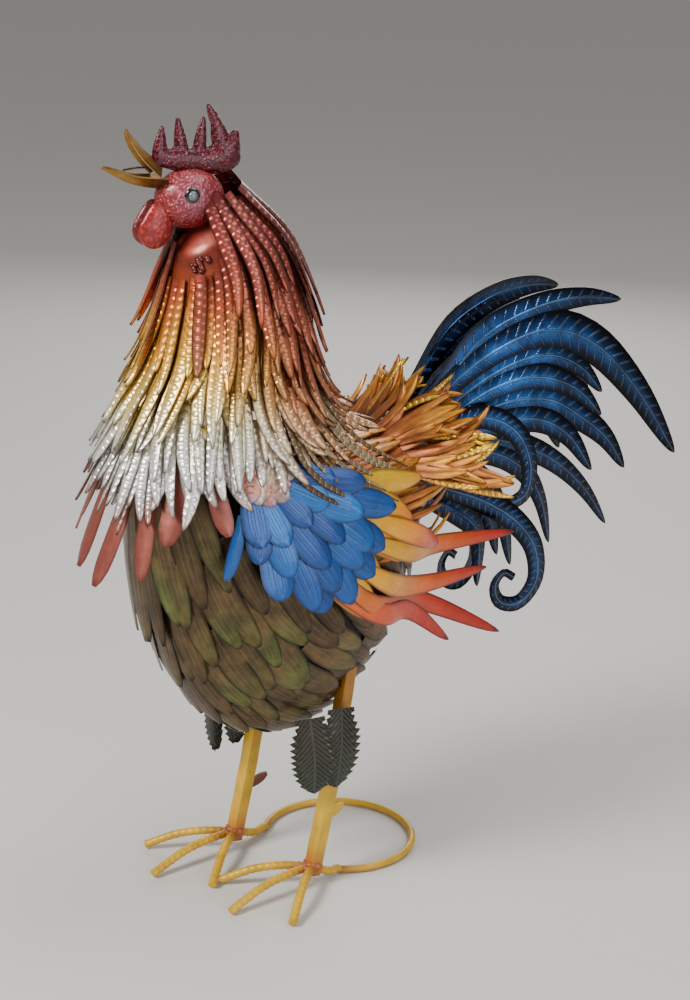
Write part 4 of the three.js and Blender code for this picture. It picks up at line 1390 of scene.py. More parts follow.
def wing_paint(points: Array, u: Array, v: Array, seed: Array) -> Array:
    """Cobalt, with a lighter azure breathed over the upper feathers.

    Args:
        points, u, v, seed: what every Colouring takes.

    Returns:
        The colour of every point.
    """
    light = (0.25 + 0.75 * smoothstep(270, 370, points[..., 2])) * smoothstep(0.1, 0.9, seed)
    light = light[..., None] * 0.7
    return linear((4, 70, 148)) * (1 - light) + linear((24, 116, 190)) * light


def shoulder_paint(points: Array, u: Array, v: Array, seed: Array) -> Array:
    """Cream and pink cover over the wing's shoulder, running into blue at the tips.

    Args:
        points, u, v, seed: what every Colouring takes.

    Returns:
        The colour of every point.
    """
    pink = smoothstep(0.3, 0.8, seed)[..., None]
    base = linear((224, 200, 176)) * (1 - pink) + linear((196, 130, 112)) * pink
    blue = smoothstep(0.75, 1.0, v)[..., None] * 0.4
    return base * (1 - blue) + linear((60, 120, 190)) * blue


def tail_paint(points: Array, u: Array, v: Array, seed: Array) -> Array:
    """Steel blue along the middle of each blade, nearly black at its edges, and darker at the root and tip;
    the dark root is painted shade, and a painted highlight brightens the middle of the fan.

    Args:
        points, u, v, seed: what every Colouring takes.

    Returns:
        The colour of every point.
    """
    colour = TAIL_ACROSS.at(np.abs(u) * (0.85 + 0.3 * seed))
    # painted shade at each blade's root; the blade also darkens towards its tip
    depth = 0.3 + 0.7 * smoothstep(0.05, 0.3, v) * (1 - 0.6 * smoothstep(0.5, 0.9, v))
    # painted highlight: a pool of light over the middle of the fan
    painted_highlight = np.exp(-(((points[..., 1] - 232) / 62) ** 2) - ((points[..., 2] - 408) / 46) ** 2)
    return colour * (depth * (0.42 + 0.75 * painted_highlight))[..., None]


def shaded_tail_paint(points: Array, u: Array, v: Array, seed: Array) -> Array:
    """The same blue, a fifth darker as painted shade, for blades mostly in the dark."""
    return tail_paint(points, u, v, seed) * 0.8


def leaf_paint(points: Array, u: Array, v: Array, seed: Array) -> Array:
    """Dark green bronze."""
    share = smoothstep(0.2, 0.9, v)[..., None]
    return linear((46, 40, 26)) * (1 - share) + linear((34, 48, 30)) * share


def leg_paint(points: Array, u: Array, v: Array, seed: Array) -> Array:
    """Yellow, with brown and red breathed round the ankles."""
    return YELLOW_LEG.at(points[..., 2] - 6 * np.cos(0.15 * points[..., 1]))


def toe_paint(points: Array, u: Array, v: Array, seed: Array) -> Array:
    """Yellow rods, reddish where they are welded to the shank."""
    near = smoothstep(0.42, 0.0, v)[..., None] * 0.75
    return linear((212, 166, 26)) * (1 - near) + linear((140, 58, 26)) * near


def face_paint(points: Array, u: Array, v: Array, seed: Array) -> Array:
    """Mauve round the eye, rose in front and dark red below and behind.

    Args:
        points, u, v, seed: what every Colouring takes.

    Returns:
        The colour of every point.
    """
    forward, side, height = HEAD.local(points)
    from_eye = np.hypot(forward - HEAD.eye[0], height - HEAD.eye[1])
    mauve = smoothstep(20, 8, from_eye)[..., None]
    low = smoothstep(575, 562, height)[..., None]
    base = linear((176, 62, 62)) * (1 - low) + linear((150, 38, 38)) * low
    return base * (1 - 0.8 * mauve) + linear((170, 92, 112)) * 0.8 * mauve


# The finishes themselves

HACKLE_METAL = Finish("hackle_metal", 0.68, 0.31, Emboss.BEADS, 6.4, 0.7, 0.85, 0.25, 0.25, 0.2, 0.06)
SALMON_METAL = Finish("salmon_metal", 0.5, 0.38, Emboss.PLAIN, edge=0.4, mottle=0.2, streak=0.15)
NECK_PAINT = Finish("neck_paint", 0.55, 0.36, Emboss.PLAIN, edge=0.0, mottle=0.4, streak=0.0, coat=0.3)
BRONZE = Finish("bronze_paint", 0.7, 0.37, Emboss.VEINS, 6.0, 0.28, 0.85, 0.7, 0.3, 0.2, 0.05)
CORE_SHADE = Finish("core_dark", 0.4, 0.6, Emboss.PLAIN, edge=0.0, mottle=0.4, streak=0.0, coat=0.0)
WING_ENAMEL = Finish(
    "wing_enamel", 0.35, 0.3, Emboss.LINES, 6.0, 0.5, 0.7, 0.25, 0.0, 0.35, 0.03, (8, 26, 60)
)
SHOULDER = Finish("shoulder_paint", 0.5, 0.36, Emboss.BEADS, 5.0, 0.4, 0.6, 0.3, 0.2, 0.2, 0.05)
QUILL_PAINT = Finish("quill_paint", 0.2, 0.33, Emboss.PLAIN, edge=0.8, mottle=0.2, streak=0.12, coat=0.15)
SADDLE_PLAIN = Finish("saddle_plain", 0.7, 0.33, Emboss.PLAIN, edge=0.8, mottle=0.4, streak=0.55, coat=0.15)
SADDLE_METAL = Finish("saddle_metal", 0.8, 0.32, Emboss.BEADS, 5.6, 0.6, 0.75, 0.4, 0.5, 0.2, 0.1)
TAIL_PEARL = Finish(
    "tail_pearl", 0.9, 0.24, Emboss.BARBS, 11.5, 1.4, 0.85, 0.9, 0.3, 0.25, 0.12, (6, 10, 20)
)
CURL_PEARL = Finish(
    "curl_pearl", 0.9, 0.24, Emboss.BARBS, 7.5, 1.5, 0.85, 0.9, 0.3, 0.25, 0.14, (6, 10, 20)
)
LEAF_GLOSS = Finish("leaf_gloss", 0.6, 0.3, Emboss.PINNATE, 4.6, 1.0, 0.5, 0.4, 0.2, 0.3, 0.08)
FOOT_PAINT = Finish("foot_paint", 0.1, 0.42, Emboss.PLAIN, edge=0.0, mottle=0.3, streak=0.1, coat=0.15)
BEAK_METAL = Finish("beak_metal", 0.75, 0.32, Emboss.PLAIN, edge=0.35, mottle=0.5, streak=0.4, coat=0.2)
WATTLE_PAINT = Pebbled(
    "wattle_paint", 0.25, 0.36, coat=0.2, raised_highlight=0.12, grain=300.0, relief=0.3, deep_tone_and_shade=(96, 22, 24)
)
EYE_GLOSS = Finish("eye_gloss", 0.0, 0.16, Emboss.PLAIN, edge=0.0, mottle=0.0, streak=0.0, coat=1.0)
FACE_SKIN = Pebbled(
    "face_skin", 0.3, 0.34, coat=0.25, raised_highlight=0.22, grain=400.0, relief=0.9, deep_tone_and_shade=(92, 20, 30)
)
COMB_SKIN = Pebbled(
    "comb_skin", 0.4, 0.27, coat=0.4, raised_highlight=0.3, grain=370.0, relief=1.3, deep_tone_and_shade=(34, 4, 14),
    crest_highlight=(170, 60, 84)
)


# The bird's sub-assemblies

HACKLE_CUT = Cut(rows=11, root=0.8, widest=0.3, round_from=0.5, roundness=1.7, tip=0.12, crown=1.3)
SALMON_CUT = Cut(rows=10, root=0.5, widest=0.7, round_from=0.78, roundness=2.3, tip=0.3, crown=1.3)
WISP_CUT = Cut(rows=14, columns=3, root=0.9, widest=0.2, round_from=0.4, roundness=1.4, tip=0.14, crown=0.8)
BODY_CUT = Cut(rows=10, root=0.9, widest=0.4, round_from=0.5, roundness=2.0, tip=0.2, crown=1.1)
WING_CUT = Cut(rows=10, root=0.7, widest=0.55, round_from=0.6, roundness=2.1, tip=0.2, crown=1.3)
QUILL_CUT = Cut(
    rows=18, root=0.55, widest=0.35, round_from=0.4, roundness=1.5, tip=0.06, crown=2.6, tapered=True
)
SADDLE_CUT = Cut(rows=9, root=0.85, widest=0.3, round_from=0.55, roundness=1.5, tip=0.12, crown=1.3)
BLADE_CUT = Cut(
    rows=26, columns=7, root=0.42, widest=0.5, round_from=0.46, roundness=1.45, tip=0.05, crown=0.8,
    keel=1.6,
    tapered=True,
)
CURL_CUT = Cut(
    rows=48, columns=7, root=0.7, widest=0.3, round_from=0.4, roundness=1.3, tip=0.34, crown=0.8, keel=1.8,
    tapered=True,
)
LEAF_CUT = Cut(
    rows=57, columns=7, root=0.6, widest=0.35, round_from=0.5, roundness=2.1, tip=0.12, crown=2.6,
    fringe=11, fringe_depth=0.3,
)
BEAK_CUT = Cut(
    rows=10, columns=7, root=1.0, widest=0.1, round_from=0.0, roundness=1.0, tip=0.03, crown=0.0, keel=9.0,
    thickness=0.9, tapered=True,
)


@dataclass(frozen=True)
class Body:
    """The inner egg and the comb-cut rows of bronze feathers that cover it."""

    carrier: BreastCarrier = BreastCarrier()
    rows: int = 8
    step: float = 14.2  # degrees round the egg between rows
    pitch: float = 18.5
    shoulder_room: float = 78.0

    def uncovered(self, middle: Array) -> Array:
        """Tells which feathers aren't under the wing or above the body's top edge.

        Args:
            middle: each feather's middle point.

        Returns:
            True where the feather shows.
        """
        y, z = middle[..., 1], middle[..., 2]
        from_wing = np.hypot(y - WINGS.carrier.shoulder[0], z - WINGS.carrier.shoulder[1])
        below_top = z < 345 - 0.3 * np.maximum(0, y)
        return below_top & ((from_wing > self.shoulder_room) | (y < WINGS.carrier.shoulder[0] - 4))

    def build(self, rng: np.random.Generator) -> None:
        """Makes the core and its rows.

        Args:
            rng: the random numbers.
        """
        core = Surface()

        def egg(longitude: Array, latitude: Array) -> Array:
            """The egg's surface over a ball's two angles."""
            return EGG.surface(longitude, (latitude + 0.5 * math.pi) / math.pi)

        # the inner egg is painted near black, as painted shade in the gaps between the feathers
        ball(core, egg, 30, 48, flat((34, 28, 22)), 80.0)
        core.object("body_core", CORE_SHADE, "bronze_feathers", ["body_shell"])
        for row in range(self.rows):
            surface = Surface()
            start = math.radians(self.step * row) * self.carrier.arc
            ring = self.carrier.point(np.linspace(0, 2 * math.pi, 73), start + 30.0)
            girth = float(np.linalg.norm(np.diff(ring, axis=0), axis=1).sum())
            length = 62.0 if row < self.rows - 1 else 40.0
            if row == 0:
                start, length = start - 22.0, length + 22.0
            layer = Layer(
                start, length, 10.4, max(9, round(girth / self.pitch)), -180, 180,
                lift=2.4, rise=0.1, flick=2.4, drift=3, twist=8, ragged=0.1, stagger=2.5,
            )
            lay(surface, self.carrier, BODY_CUT, layer, body_paint, rng, self.uncovered)
            surface.object(f"body_feathers_{row + 1}", BRONZE, "bronze_feathers", [f"body_row_{row + 1}"])
        rear = Surface()
        for start_y, length, count in ((30, 66, 15), (58, 62, 14), (84, 54, 13)):
            layer = Layer(
                0, length, 10.0, count, 98, 262, lift=1.6, rise=0.08, flick=2, drift=4, twist=10, stagger=5
            )
            lay(rear, BackCarrier(start_y), BODY_CUT, layer, body_paint, rng)
        rear.object("body_feathers_rear", BRONZE, "bronze_feathers", [])


@dataclass(frozen=True)
class Neck:
    """The painted cone, with its rows of beaded hackle strips."""

    carrier: NeckCarrier = NeckCarrier()
    cone_length: float = 150.0
    weld: tuple[float, float] = (34.0, 24.0)  # degrees round and mm down the cone
    rows: tuple[tuple[float, float, int, float, float], ...] = (
        (-9, 94, 16, 52, 338),
        (32, 92, 21, 50, 346),
        (64, 92, 30, -180, 180),
        (96, 84, 33, -180, 180),
        (124, 78, 36, -180, 180),
        (148, 70, 36, -180, 180),
    )
    slots: tuple[str, ...] = (
        "hackle_copper", "hackle_copper", "hackle_gold", "hackle_cream", "hackle_cream", "hackle_salmon",
    )

    def cone(self, rng: np.random.Generator) -> None:
        """Makes the bare cone, and the weld under the cheek as a few small lumps.

        Args:
            rng: the random numbers.
        """
        surface = Surface()
        columns, rows = 64, 40
        angle = np.linspace(0, 2 * math.pi, columns, endpoint=False)[None, :] + np.zeros((rows, 1))
        distance = np.linspace(0, self.cone_length, rows)[:, None] + np.zeros((1, columns))
        point, normal = self.carrier.with_normal(angle, distance)
        ring = point - 0.5 * normal
        shut = np.sqrt(np.clip(distance / 14.0, 0.02, 1.0))[..., None]
        ring = ring * shut + ring.mean(axis=1, keepdims=True) * (1 - shut)
        poles = np.stack([ring[0].mean(axis=0), ring[-1].mean(axis=0)])
        share = np.linspace(0, 1, rows)

        def paint(points: Array, u: Array, v: Array, seed: Array) -> Array:
            """The front's bands, burnt dark round the weld."""
            colour = HACKLE_FRONT.at(points[..., 2] - 6)
            near = np.exp(-(((v * self.cone_length - self.weld[1]) / 12) ** 2))
            side = 0.5 * (u + 1) * 360
            dark = (near * np.exp(-(((side - self.weld[0]) / 16) ** 2)))[..., None] * 0.8
            return 0.75 * colour * (1 - dark) + linear((72, 26, 20)) * dark

        close_and_add(surface, ring, poles, share, self.cone_length, 50.0, paint)
        for _ in range(14):
            turn, down = self.weld[0] + rng.normal(0, 5), self.weld[1] + rng.normal(0, 5)
            middle, _ = self.carrier.with_normal(np.radians([turn]), np.array([down]))
            size = rng.uniform(1.3, 2.9, 3)

            def bead(longitude: Array, latitude: Array) -> Array:
                """A small round lump of weld."""
                flatness = np.cos(latitude)
                way = (flatness * np.cos(longitude), flatness * np.sin(longitude), np.sin(latitude))
                return middle[0] + size * np.stack(way, axis=-1)

            ball(surface, bead, 7, 12, flat((104, 40, 28), 0), 2.0)
        surface.object("neck_cone", NECK_PAINT, "neck_cone", ["neck_core"])

    def wisps(self, surface: Surface, rng: np.random.Generator) -> None:
        """Adds the long thin strips that trail back over the wing.

        Args:
            surface: where they go.
            rng: the random numbers.
        """
        for hand, count in ((1, 9), (-1, 6)):
            paths = []
            for angle in np.linspace(88, 132, count) + rng.uniform(-2, 2, count):
                start = self.carrier.point(np.radians([angle]), np.array([168.0]))[0]
                middle = self.carrier.point(np.radians([angle]), np.array([222.0]))[0]
                reach = rng.uniform(0.62, 1.0)
                drop = 10 * math.sin(math.radians(angle))
                end = middle + np.array([6.0, 74.0 * reach, -34.0 * reach - drop])
                outwards = np.array([6.0, 0, 7.0])
                paths.append(SmoothPath([start + outwards * 0.6, middle + outwards, end + outwards * 0.7]))
            part = Surface()
            ribbon(part, WISP_CUT, paths, (0.85, 0.1, 0.5), rng.uniform(2.0, 3.6, count), wisp_paint, rng)
            part = part if hand > 0 else part.mirrored()
            for arrays in zip(part.points, part.faces, part.place, part.reach, part.paint):
                surface.add(*arrays)

    def build(self, rng: np.random.Generator) -> None:
        """Makes the cone and its rows.

        Args:
            rng: the random numbers.
        """
        self.cone(rng)
        for number, (start, length, count, low, high) in enumerate(self.rows, 1):
            surface = Surface()
            last = number == len(self.rows)
            if last:
                long = Layer(
                    start + 20, 106, 8.4, 9, -84, 62, lift=1.4, rise=0.04, flick=2, drift=6, twist=14,
                    ragged=0.18,
                    stretch=sides_shorter,
                )
                plain = Surface()
                lay(plain, self.carrier, SALMON_CUT, long, salmon_paint, rng)
                plain.object("hackle_plain_strips", SALMON_METAL, "hackle_salmon", [])
            if number == 2:
                throat = Layer(
                    35, 88, 5.4, 10, -70, 58, lift=1.6, rise=0.08, flick=3, drift=5, twist=14, ragged=0.16
                )
                lay(surface, self.carrier, HACKLE_CUT, throat, hackle_paint, rng)
                lone = Layer(34, 84, 5.8, 1, 32, 40, lift=5.5, rise=0.08, wander=0, ragged=0)
                lay(surface, self.carrier, HACKLE_CUT, lone, along_length(LONE_BROWN, 0), rng)
            for offset, lift, more, crowd in ((12, 1.0, 0, 1.0), (0, 3.2, 16, 0.78)):
                layer = Layer(
                    start + offset, length + more, 5.3, round(count * crowd), low + 0.4 * offset,
                    high + 0.4 * offset,
                    lift=lift, rise=0.1, flick=6 if number < 3 else 4, drift=8, twist=30, ragged=0.2,
                    wander=0.45,
                    stagger=9, stretch=sides_shorter,
                )
                lay(surface, self.carrier, HACKLE_CUT, layer, hackle_paint, rng)
            if last:
                self.wisps(surface, rng)
            surface.object(
                f"hackle_feathers_{number}", HACKLE_METAL, self.slots[number - 1], [f"hackle_row_{number}"]
            )


def sides_shorter(angle: Array) -> Array:
    """Relative length of the neck's strips: a little less at the sides than in front."""
    return 1 - 0.16 * np.abs(np.sin(angle))


def wisp_paint(points: Array, u: Array, v: Array, seed: Array) -> Array:
    """Cream to olive brown on the trailing strips."""
    share = seed[..., None]
    return linear((196, 170, 128)) * (1 - share) + linear((112, 84, 56)) * share


@dataclass(frozen=True)
class Wings:
    """Each wing's overlapping enamelled rows, and the warm quills below and behind them."""

    carrier: WingCarrier = WingCarrier()
    root_reach: float = 110.0
    quills: tuple[tuple[float, tuple[tuple[float, float], ...], bool], ...] = (
        (27, ((66, 310), (132, 277)), False),
        (36, ((60, 296), (132, 278), (222, 271)), False),
        (45, ((36, 276), (99, 252), (190, 245)), False),
        (53, ((26, 258), (102, 236), (210, 181)), True),
        (60, ((40, 246), (92, 230), (148, 188)), True),
    )

    def on_flank(self, y: float, z: float, share: float) -> tuple[float, float, float]:
        """A quill's point beside the body."""
        off = 18.5 + 7.5 * math.sqrt(share)
        return (float(EGG.flank(np.array(y), np.array(z))) + off, y, z)

    def quill_paths(self) -> list[SmoothPath]:
        """Centre lines of the left wing's quills.

        Returns:
            A path for each quill.
        """
        paths = []
        for angle, through, _ in self.quills:
            y = self.carrier.shoulder[0] + self.root_reach * math.cos(math.radians(angle))
            z = self.carrier.shoulder[1] - self.root_reach * math.sin(math.radians(angle))
            places = [(y, z), *through]
            last = len(places) - 1
            paths.append(SmoothPath([self.on_flank(*at, n / last) for n, at in enumerate(places)]))
        return paths

    def build(self, rng: np.random.Generator) -> None:
        """Makes both wings, the right one as the left one's mirror.

        Args:
            rng: the random numbers.
        """
        rows = {
            1: [
                (Layer(-4, 36, 8.5, 6, -4, 108, lift=3.5, flick=2, twist=12), shoulder_paint, SHOULDER),
                (
                    Layer(16, 50, 11.5, 5, 0, 96, lift=1.5, rise=0.11, flick=2.5, twist=9), wing_paint,
                    WING_ENAMEL
                ),
            ],
            2: [
                (
                    Layer(36, 58, 12.2, 6, 6, 92, lift=1.0, rise=0.11, flick=2.5, twist=9), wing_paint,
                    WING_ENAMEL
                )
            ],
            3: [
                (
                    Layer(60, 60, 13.0, 6, 16, 84, lift=0.8, rise=0.11, flick=3, twist=8), wing_paint,
                    WING_ENAMEL
                ),
                (
                    Layer(80, 56, 13.2, 4, 28, 68, lift=0.6, rise=0.1, flick=3, twist=6), wing_paint,
                    WING_ENAMEL
                ),
                (Layer(46, 64, 5.0, 1, 99, 104, lift=4, rise=0.05, wander=0), wing_paint, WING_ENAMEL),
            ],
        }
        for row, layers in rows.items():
            for finish in {layer[2].name: layer[2] for layer in layers}.values():
                surface = Surface()
                for layer, paint, _ in (entry for entry in layers if entry[2] is finish):
                    lay(surface, self.carrier, WING_CUT, layer, paint, rng)
                part = "feathers" if finish is WING_ENAMEL else "shoulder"
                for side, made in (("left", surface), ("right", surface.mirrored())):
                    nodes = [f"wing_{side}_row_{row}"] if finish is WING_ENAMEL else []
                    made.object(f"wing_{side}_{part}_{row}", finish, "wing_blue", nodes)
        quills = Surface()
        for path, (_, _, red) in zip(self.quill_paths(), self.quills):
            ramp = QUILL_RED if red else QUILL_WARM
            ribbon(quills, QUILL_CUT, [path], (1, 0.05, 0), [9.6], along_length(ramp, 0.05), rng, bow=3)
        yellow = Layer(92, 78, 10.5, 7, 8, 60, lift=-5.5, rise=0.03, flick=0, drift=4, twist=8)
        lay(quills, self.carrier, QUILL_CUT, yellow, along_length(QUILL_YELLOW, 0.2), rng)
        for side, made in (("left", quills), ("right", quills.mirrored())):
            made.object(f"wing_quills_{side}_feathers", QUILL_PAINT, "quill_flame", [f"wing_quills_{side}"])


WINGS = Wings()


@dataclass(frozen=True)
class Saddle:
    """The ragged copper and gold strips that hide the tail's root."""

    carrier: SaddleCarrier = SaddleCarrier()

    @staticmethod
    def stretch(middle: float) -> Callable[[Array], Array]:
        """Makes the middle strips shorter than the side ones."""
        return lambda angle: middle + (1 - middle) * np.abs(np.sin(angle))

    def cover(self, surface: Surface, rng: np.random.Generator) -> None:
        """Lays copper strips over the back and the flanks behind the wings.

        Args:
            surface: where they go.
            rng: the random numbers.
        """
        for start_y, length, count, spread in (
            (-42, 70, 13, 96), (-12, 70, 15, 104), (20, 72, 16, 108), (50, 66, 17, 112)
        ):
            layer = Layer(
                0, length, 5.6, count, -spread, spread, lift=3.2, rise=0.09, flick=3, drift=5, twist=16,
                ragged=0.2,
                wander=0.4, stagger=8,
            )
            lay(surface, BackCarrier(start_y), SADDLE_CUT, layer, along_length(SADDLE_COPPER, 0.3), rng)
        for low, high in ((92, 124), (-124, -92)):
            layer = Layer(
                0, 92, 3.8, 8, low, high, lift=6, rise=0.2, flick=6, drift=8, twist=30, ragged=0.25,
                wander=0.5, stagger=12
            )
            lay(surface, BackCarrier(24), SADDLE_CUT, layer, along_length(SADDLE_COPPER, 0.3), rng)

    def build(self, rng: np.random.Generator) -> None:
        """Makes the cover, and each CAD row as plain and beaded strips.

        Args:
            rng: the random numbers.
        """
        cover = Surface()
        self.cover(cover, rng)
        cover.object("saddle_cover", SADDLE_PLAIN, "saddle_gold", [])
        for row, (start, length, middle) in enumerate(((0, 66, 0.95), (22, 60, 0.75)), 1):
            for name, finish, strips in (
                ("plain", SADDLE_PLAIN, ((0, 19, 5.0, SADDLE_COPPER), (8, 19, 4.2, SADDLE_COPPER))),
                ("beaded", SADDLE_METAL, ((12, 9, 4.2, SADDLE_GOLD),)),
            ):
                surface = Surface()
                for offset, count, half, ramp in strips:
                    layer = Layer(
                        start + offset, length - 0.5 * offset, half, count, -84, 84, lift=3.0, rise=0.13,
                        flick=12,
                        drift=16, twist=44, ragged=0.26, wander=0.6, stagger=6,
                        stretch=self.stretch(middle),
                    )
                    lay(surface, self.carrier, SADDLE_CUT, layer, along_length(ramp, 0.3), rng)
                nodes = [f"saddle_row_{row}"] if name == "plain" else []
                surface.object(f"saddle_{name}_{row}", finish, "saddle_gold", nodes)


@dataclass(frozen=True)
class Tail:
    """Two fans of long embossed blades, the blades between them and the curled sickles."""

    hinge_y: float = 125.0
    half_gap: float = 12.0
    splay: tuple[tuple[str, float], ...] = (("left", 10.0), ("right", 3.0))
    curl_out: tuple[float, float] = (8.0, 12.5)
    fan: tuple[tuple[tuple[float, float], ...], ...] = (
        ((118, 352), (163, 403), (201, 441), (257, 462), (304, 466), (343, 461)),
        ((120, 350), (168, 402), (220, 431), (268, 441), (315, 425), (367, 378), (417, 312)),
        ((122, 346), (182, 392), (232, 414), (271, 418), (304, 404), (329, 379)),
        ((124, 342), (165, 372), (213, 395), (258, 400), (300, 385), (329, 358)),
        ((126, 338), (175, 362), (225, 380), (272, 378), (307, 359), (338, 335), (360, 305)),
        ((128, 334), (175, 352), (224, 364), (264, 361), (295, 343), (322, 308)),
    )
    fan_widths: tuple[float, ...] = (14.0, 18.5, 14.0, 14.5, 15.5, 13.5)
    inner: tuple[tuple[tuple[float, float], ...], ...] = (
        ((124, 340), (216, 343), (289, 323), (335, 299), (376, 265), (406, 228)),
        ((126, 334), (200, 333), (254, 322), (292, 298), (313, 269), (327, 225)),
        ((128, 328), (190, 321), (236, 301), (262, 265), (276, 214)),
        ((130, 322), (181, 308), (222, 288), (246, 262), (257, 228)),
        ((132, 316), (173, 295), (208, 276), (230, 255), (233, 203)),
    )
    upper_curl: tuple[tuple[float, float], ...] = (
        (120, 352), (160, 366), (199, 372), (234, 354), (250, 322), (246, 297), (226, 291), (211, 304),
        (214, 320),
    )
    lower_curl: tuple[tuple[float, float], ...] = (
        (128, 328), (165, 313), (198, 299), (233, 276), (256, 247), (259, 216), (242, 198), (221, 203),
        (215, 219), (224, 229), (235, 223),
    )

    def path(self, points: Sequence[tuple[float, float]], splay: float, out: float) -> SmoothPath:
        """A blade's centre line on one of the splayed plates."""
        slope = math.tan(math.radians(splay))
        return SmoothPath([(self.half_gap + out + slope * (y - self.hinge_y), y, z) for y, z in points])

    def build(self, rng: np.random.Generator) -> None:
        """Makes both sides and the middle.

        Args:
            rng: the random numbers.
        """
        middle = Surface()
        for n, points in enumerate(self.inner):
            path = SmoothPath([(0.7 * (n - 2), y, z) for y, z in points])
            ribbon(middle, BLADE_CUT, [path], (1, 0, 0), [12.0], shaded_tail_paint, rng)
        middle.object("tail_inner_blades", TAIL_PEARL, "tail_blue", ["tail_inner"])
        for side, splay in self.splay:
            facing = (1.0, -math.tan(math.radians(splay)), 0.0)
            fan, upper, lower = Surface(), Surface(), Surface()
            for n, (points, half) in enumerate(zip(self.fan, self.fan_widths)):
                path = self.path(points, splay, 0.6 + 0.9 * (n % 2) + 0.15 * n)
                ribbon(fan, BLADE_CUT, [path], facing, [half], tail_paint, rng)
            ribbon(
                upper, CURL_CUT, [self.path(self.upper_curl, splay, self.curl_out[0])], facing, [10.5],
                tail_paint, rng
            )
            ribbon(
                lower, CURL_CUT, [self.path(self.lower_curl, splay, self.curl_out[1])], facing, [11],
                tail_paint, rng
            )
            for name, surface, finish, node in (
                ("fan", fan, TAIL_PEARL, "tail_fan"),
                ("upper_curl", upper, CURL_PEARL, "tail_curl_upper"),
                ("lower_curl", lower, CURL_PEARL, "tail_curl_lower"),
            ):
                made = surface if side == "left" else surface.mirrored()
                made.object(f"tail_{name}_{side}_blades", finish, "tail_blue", [f"{node}_{side}"])


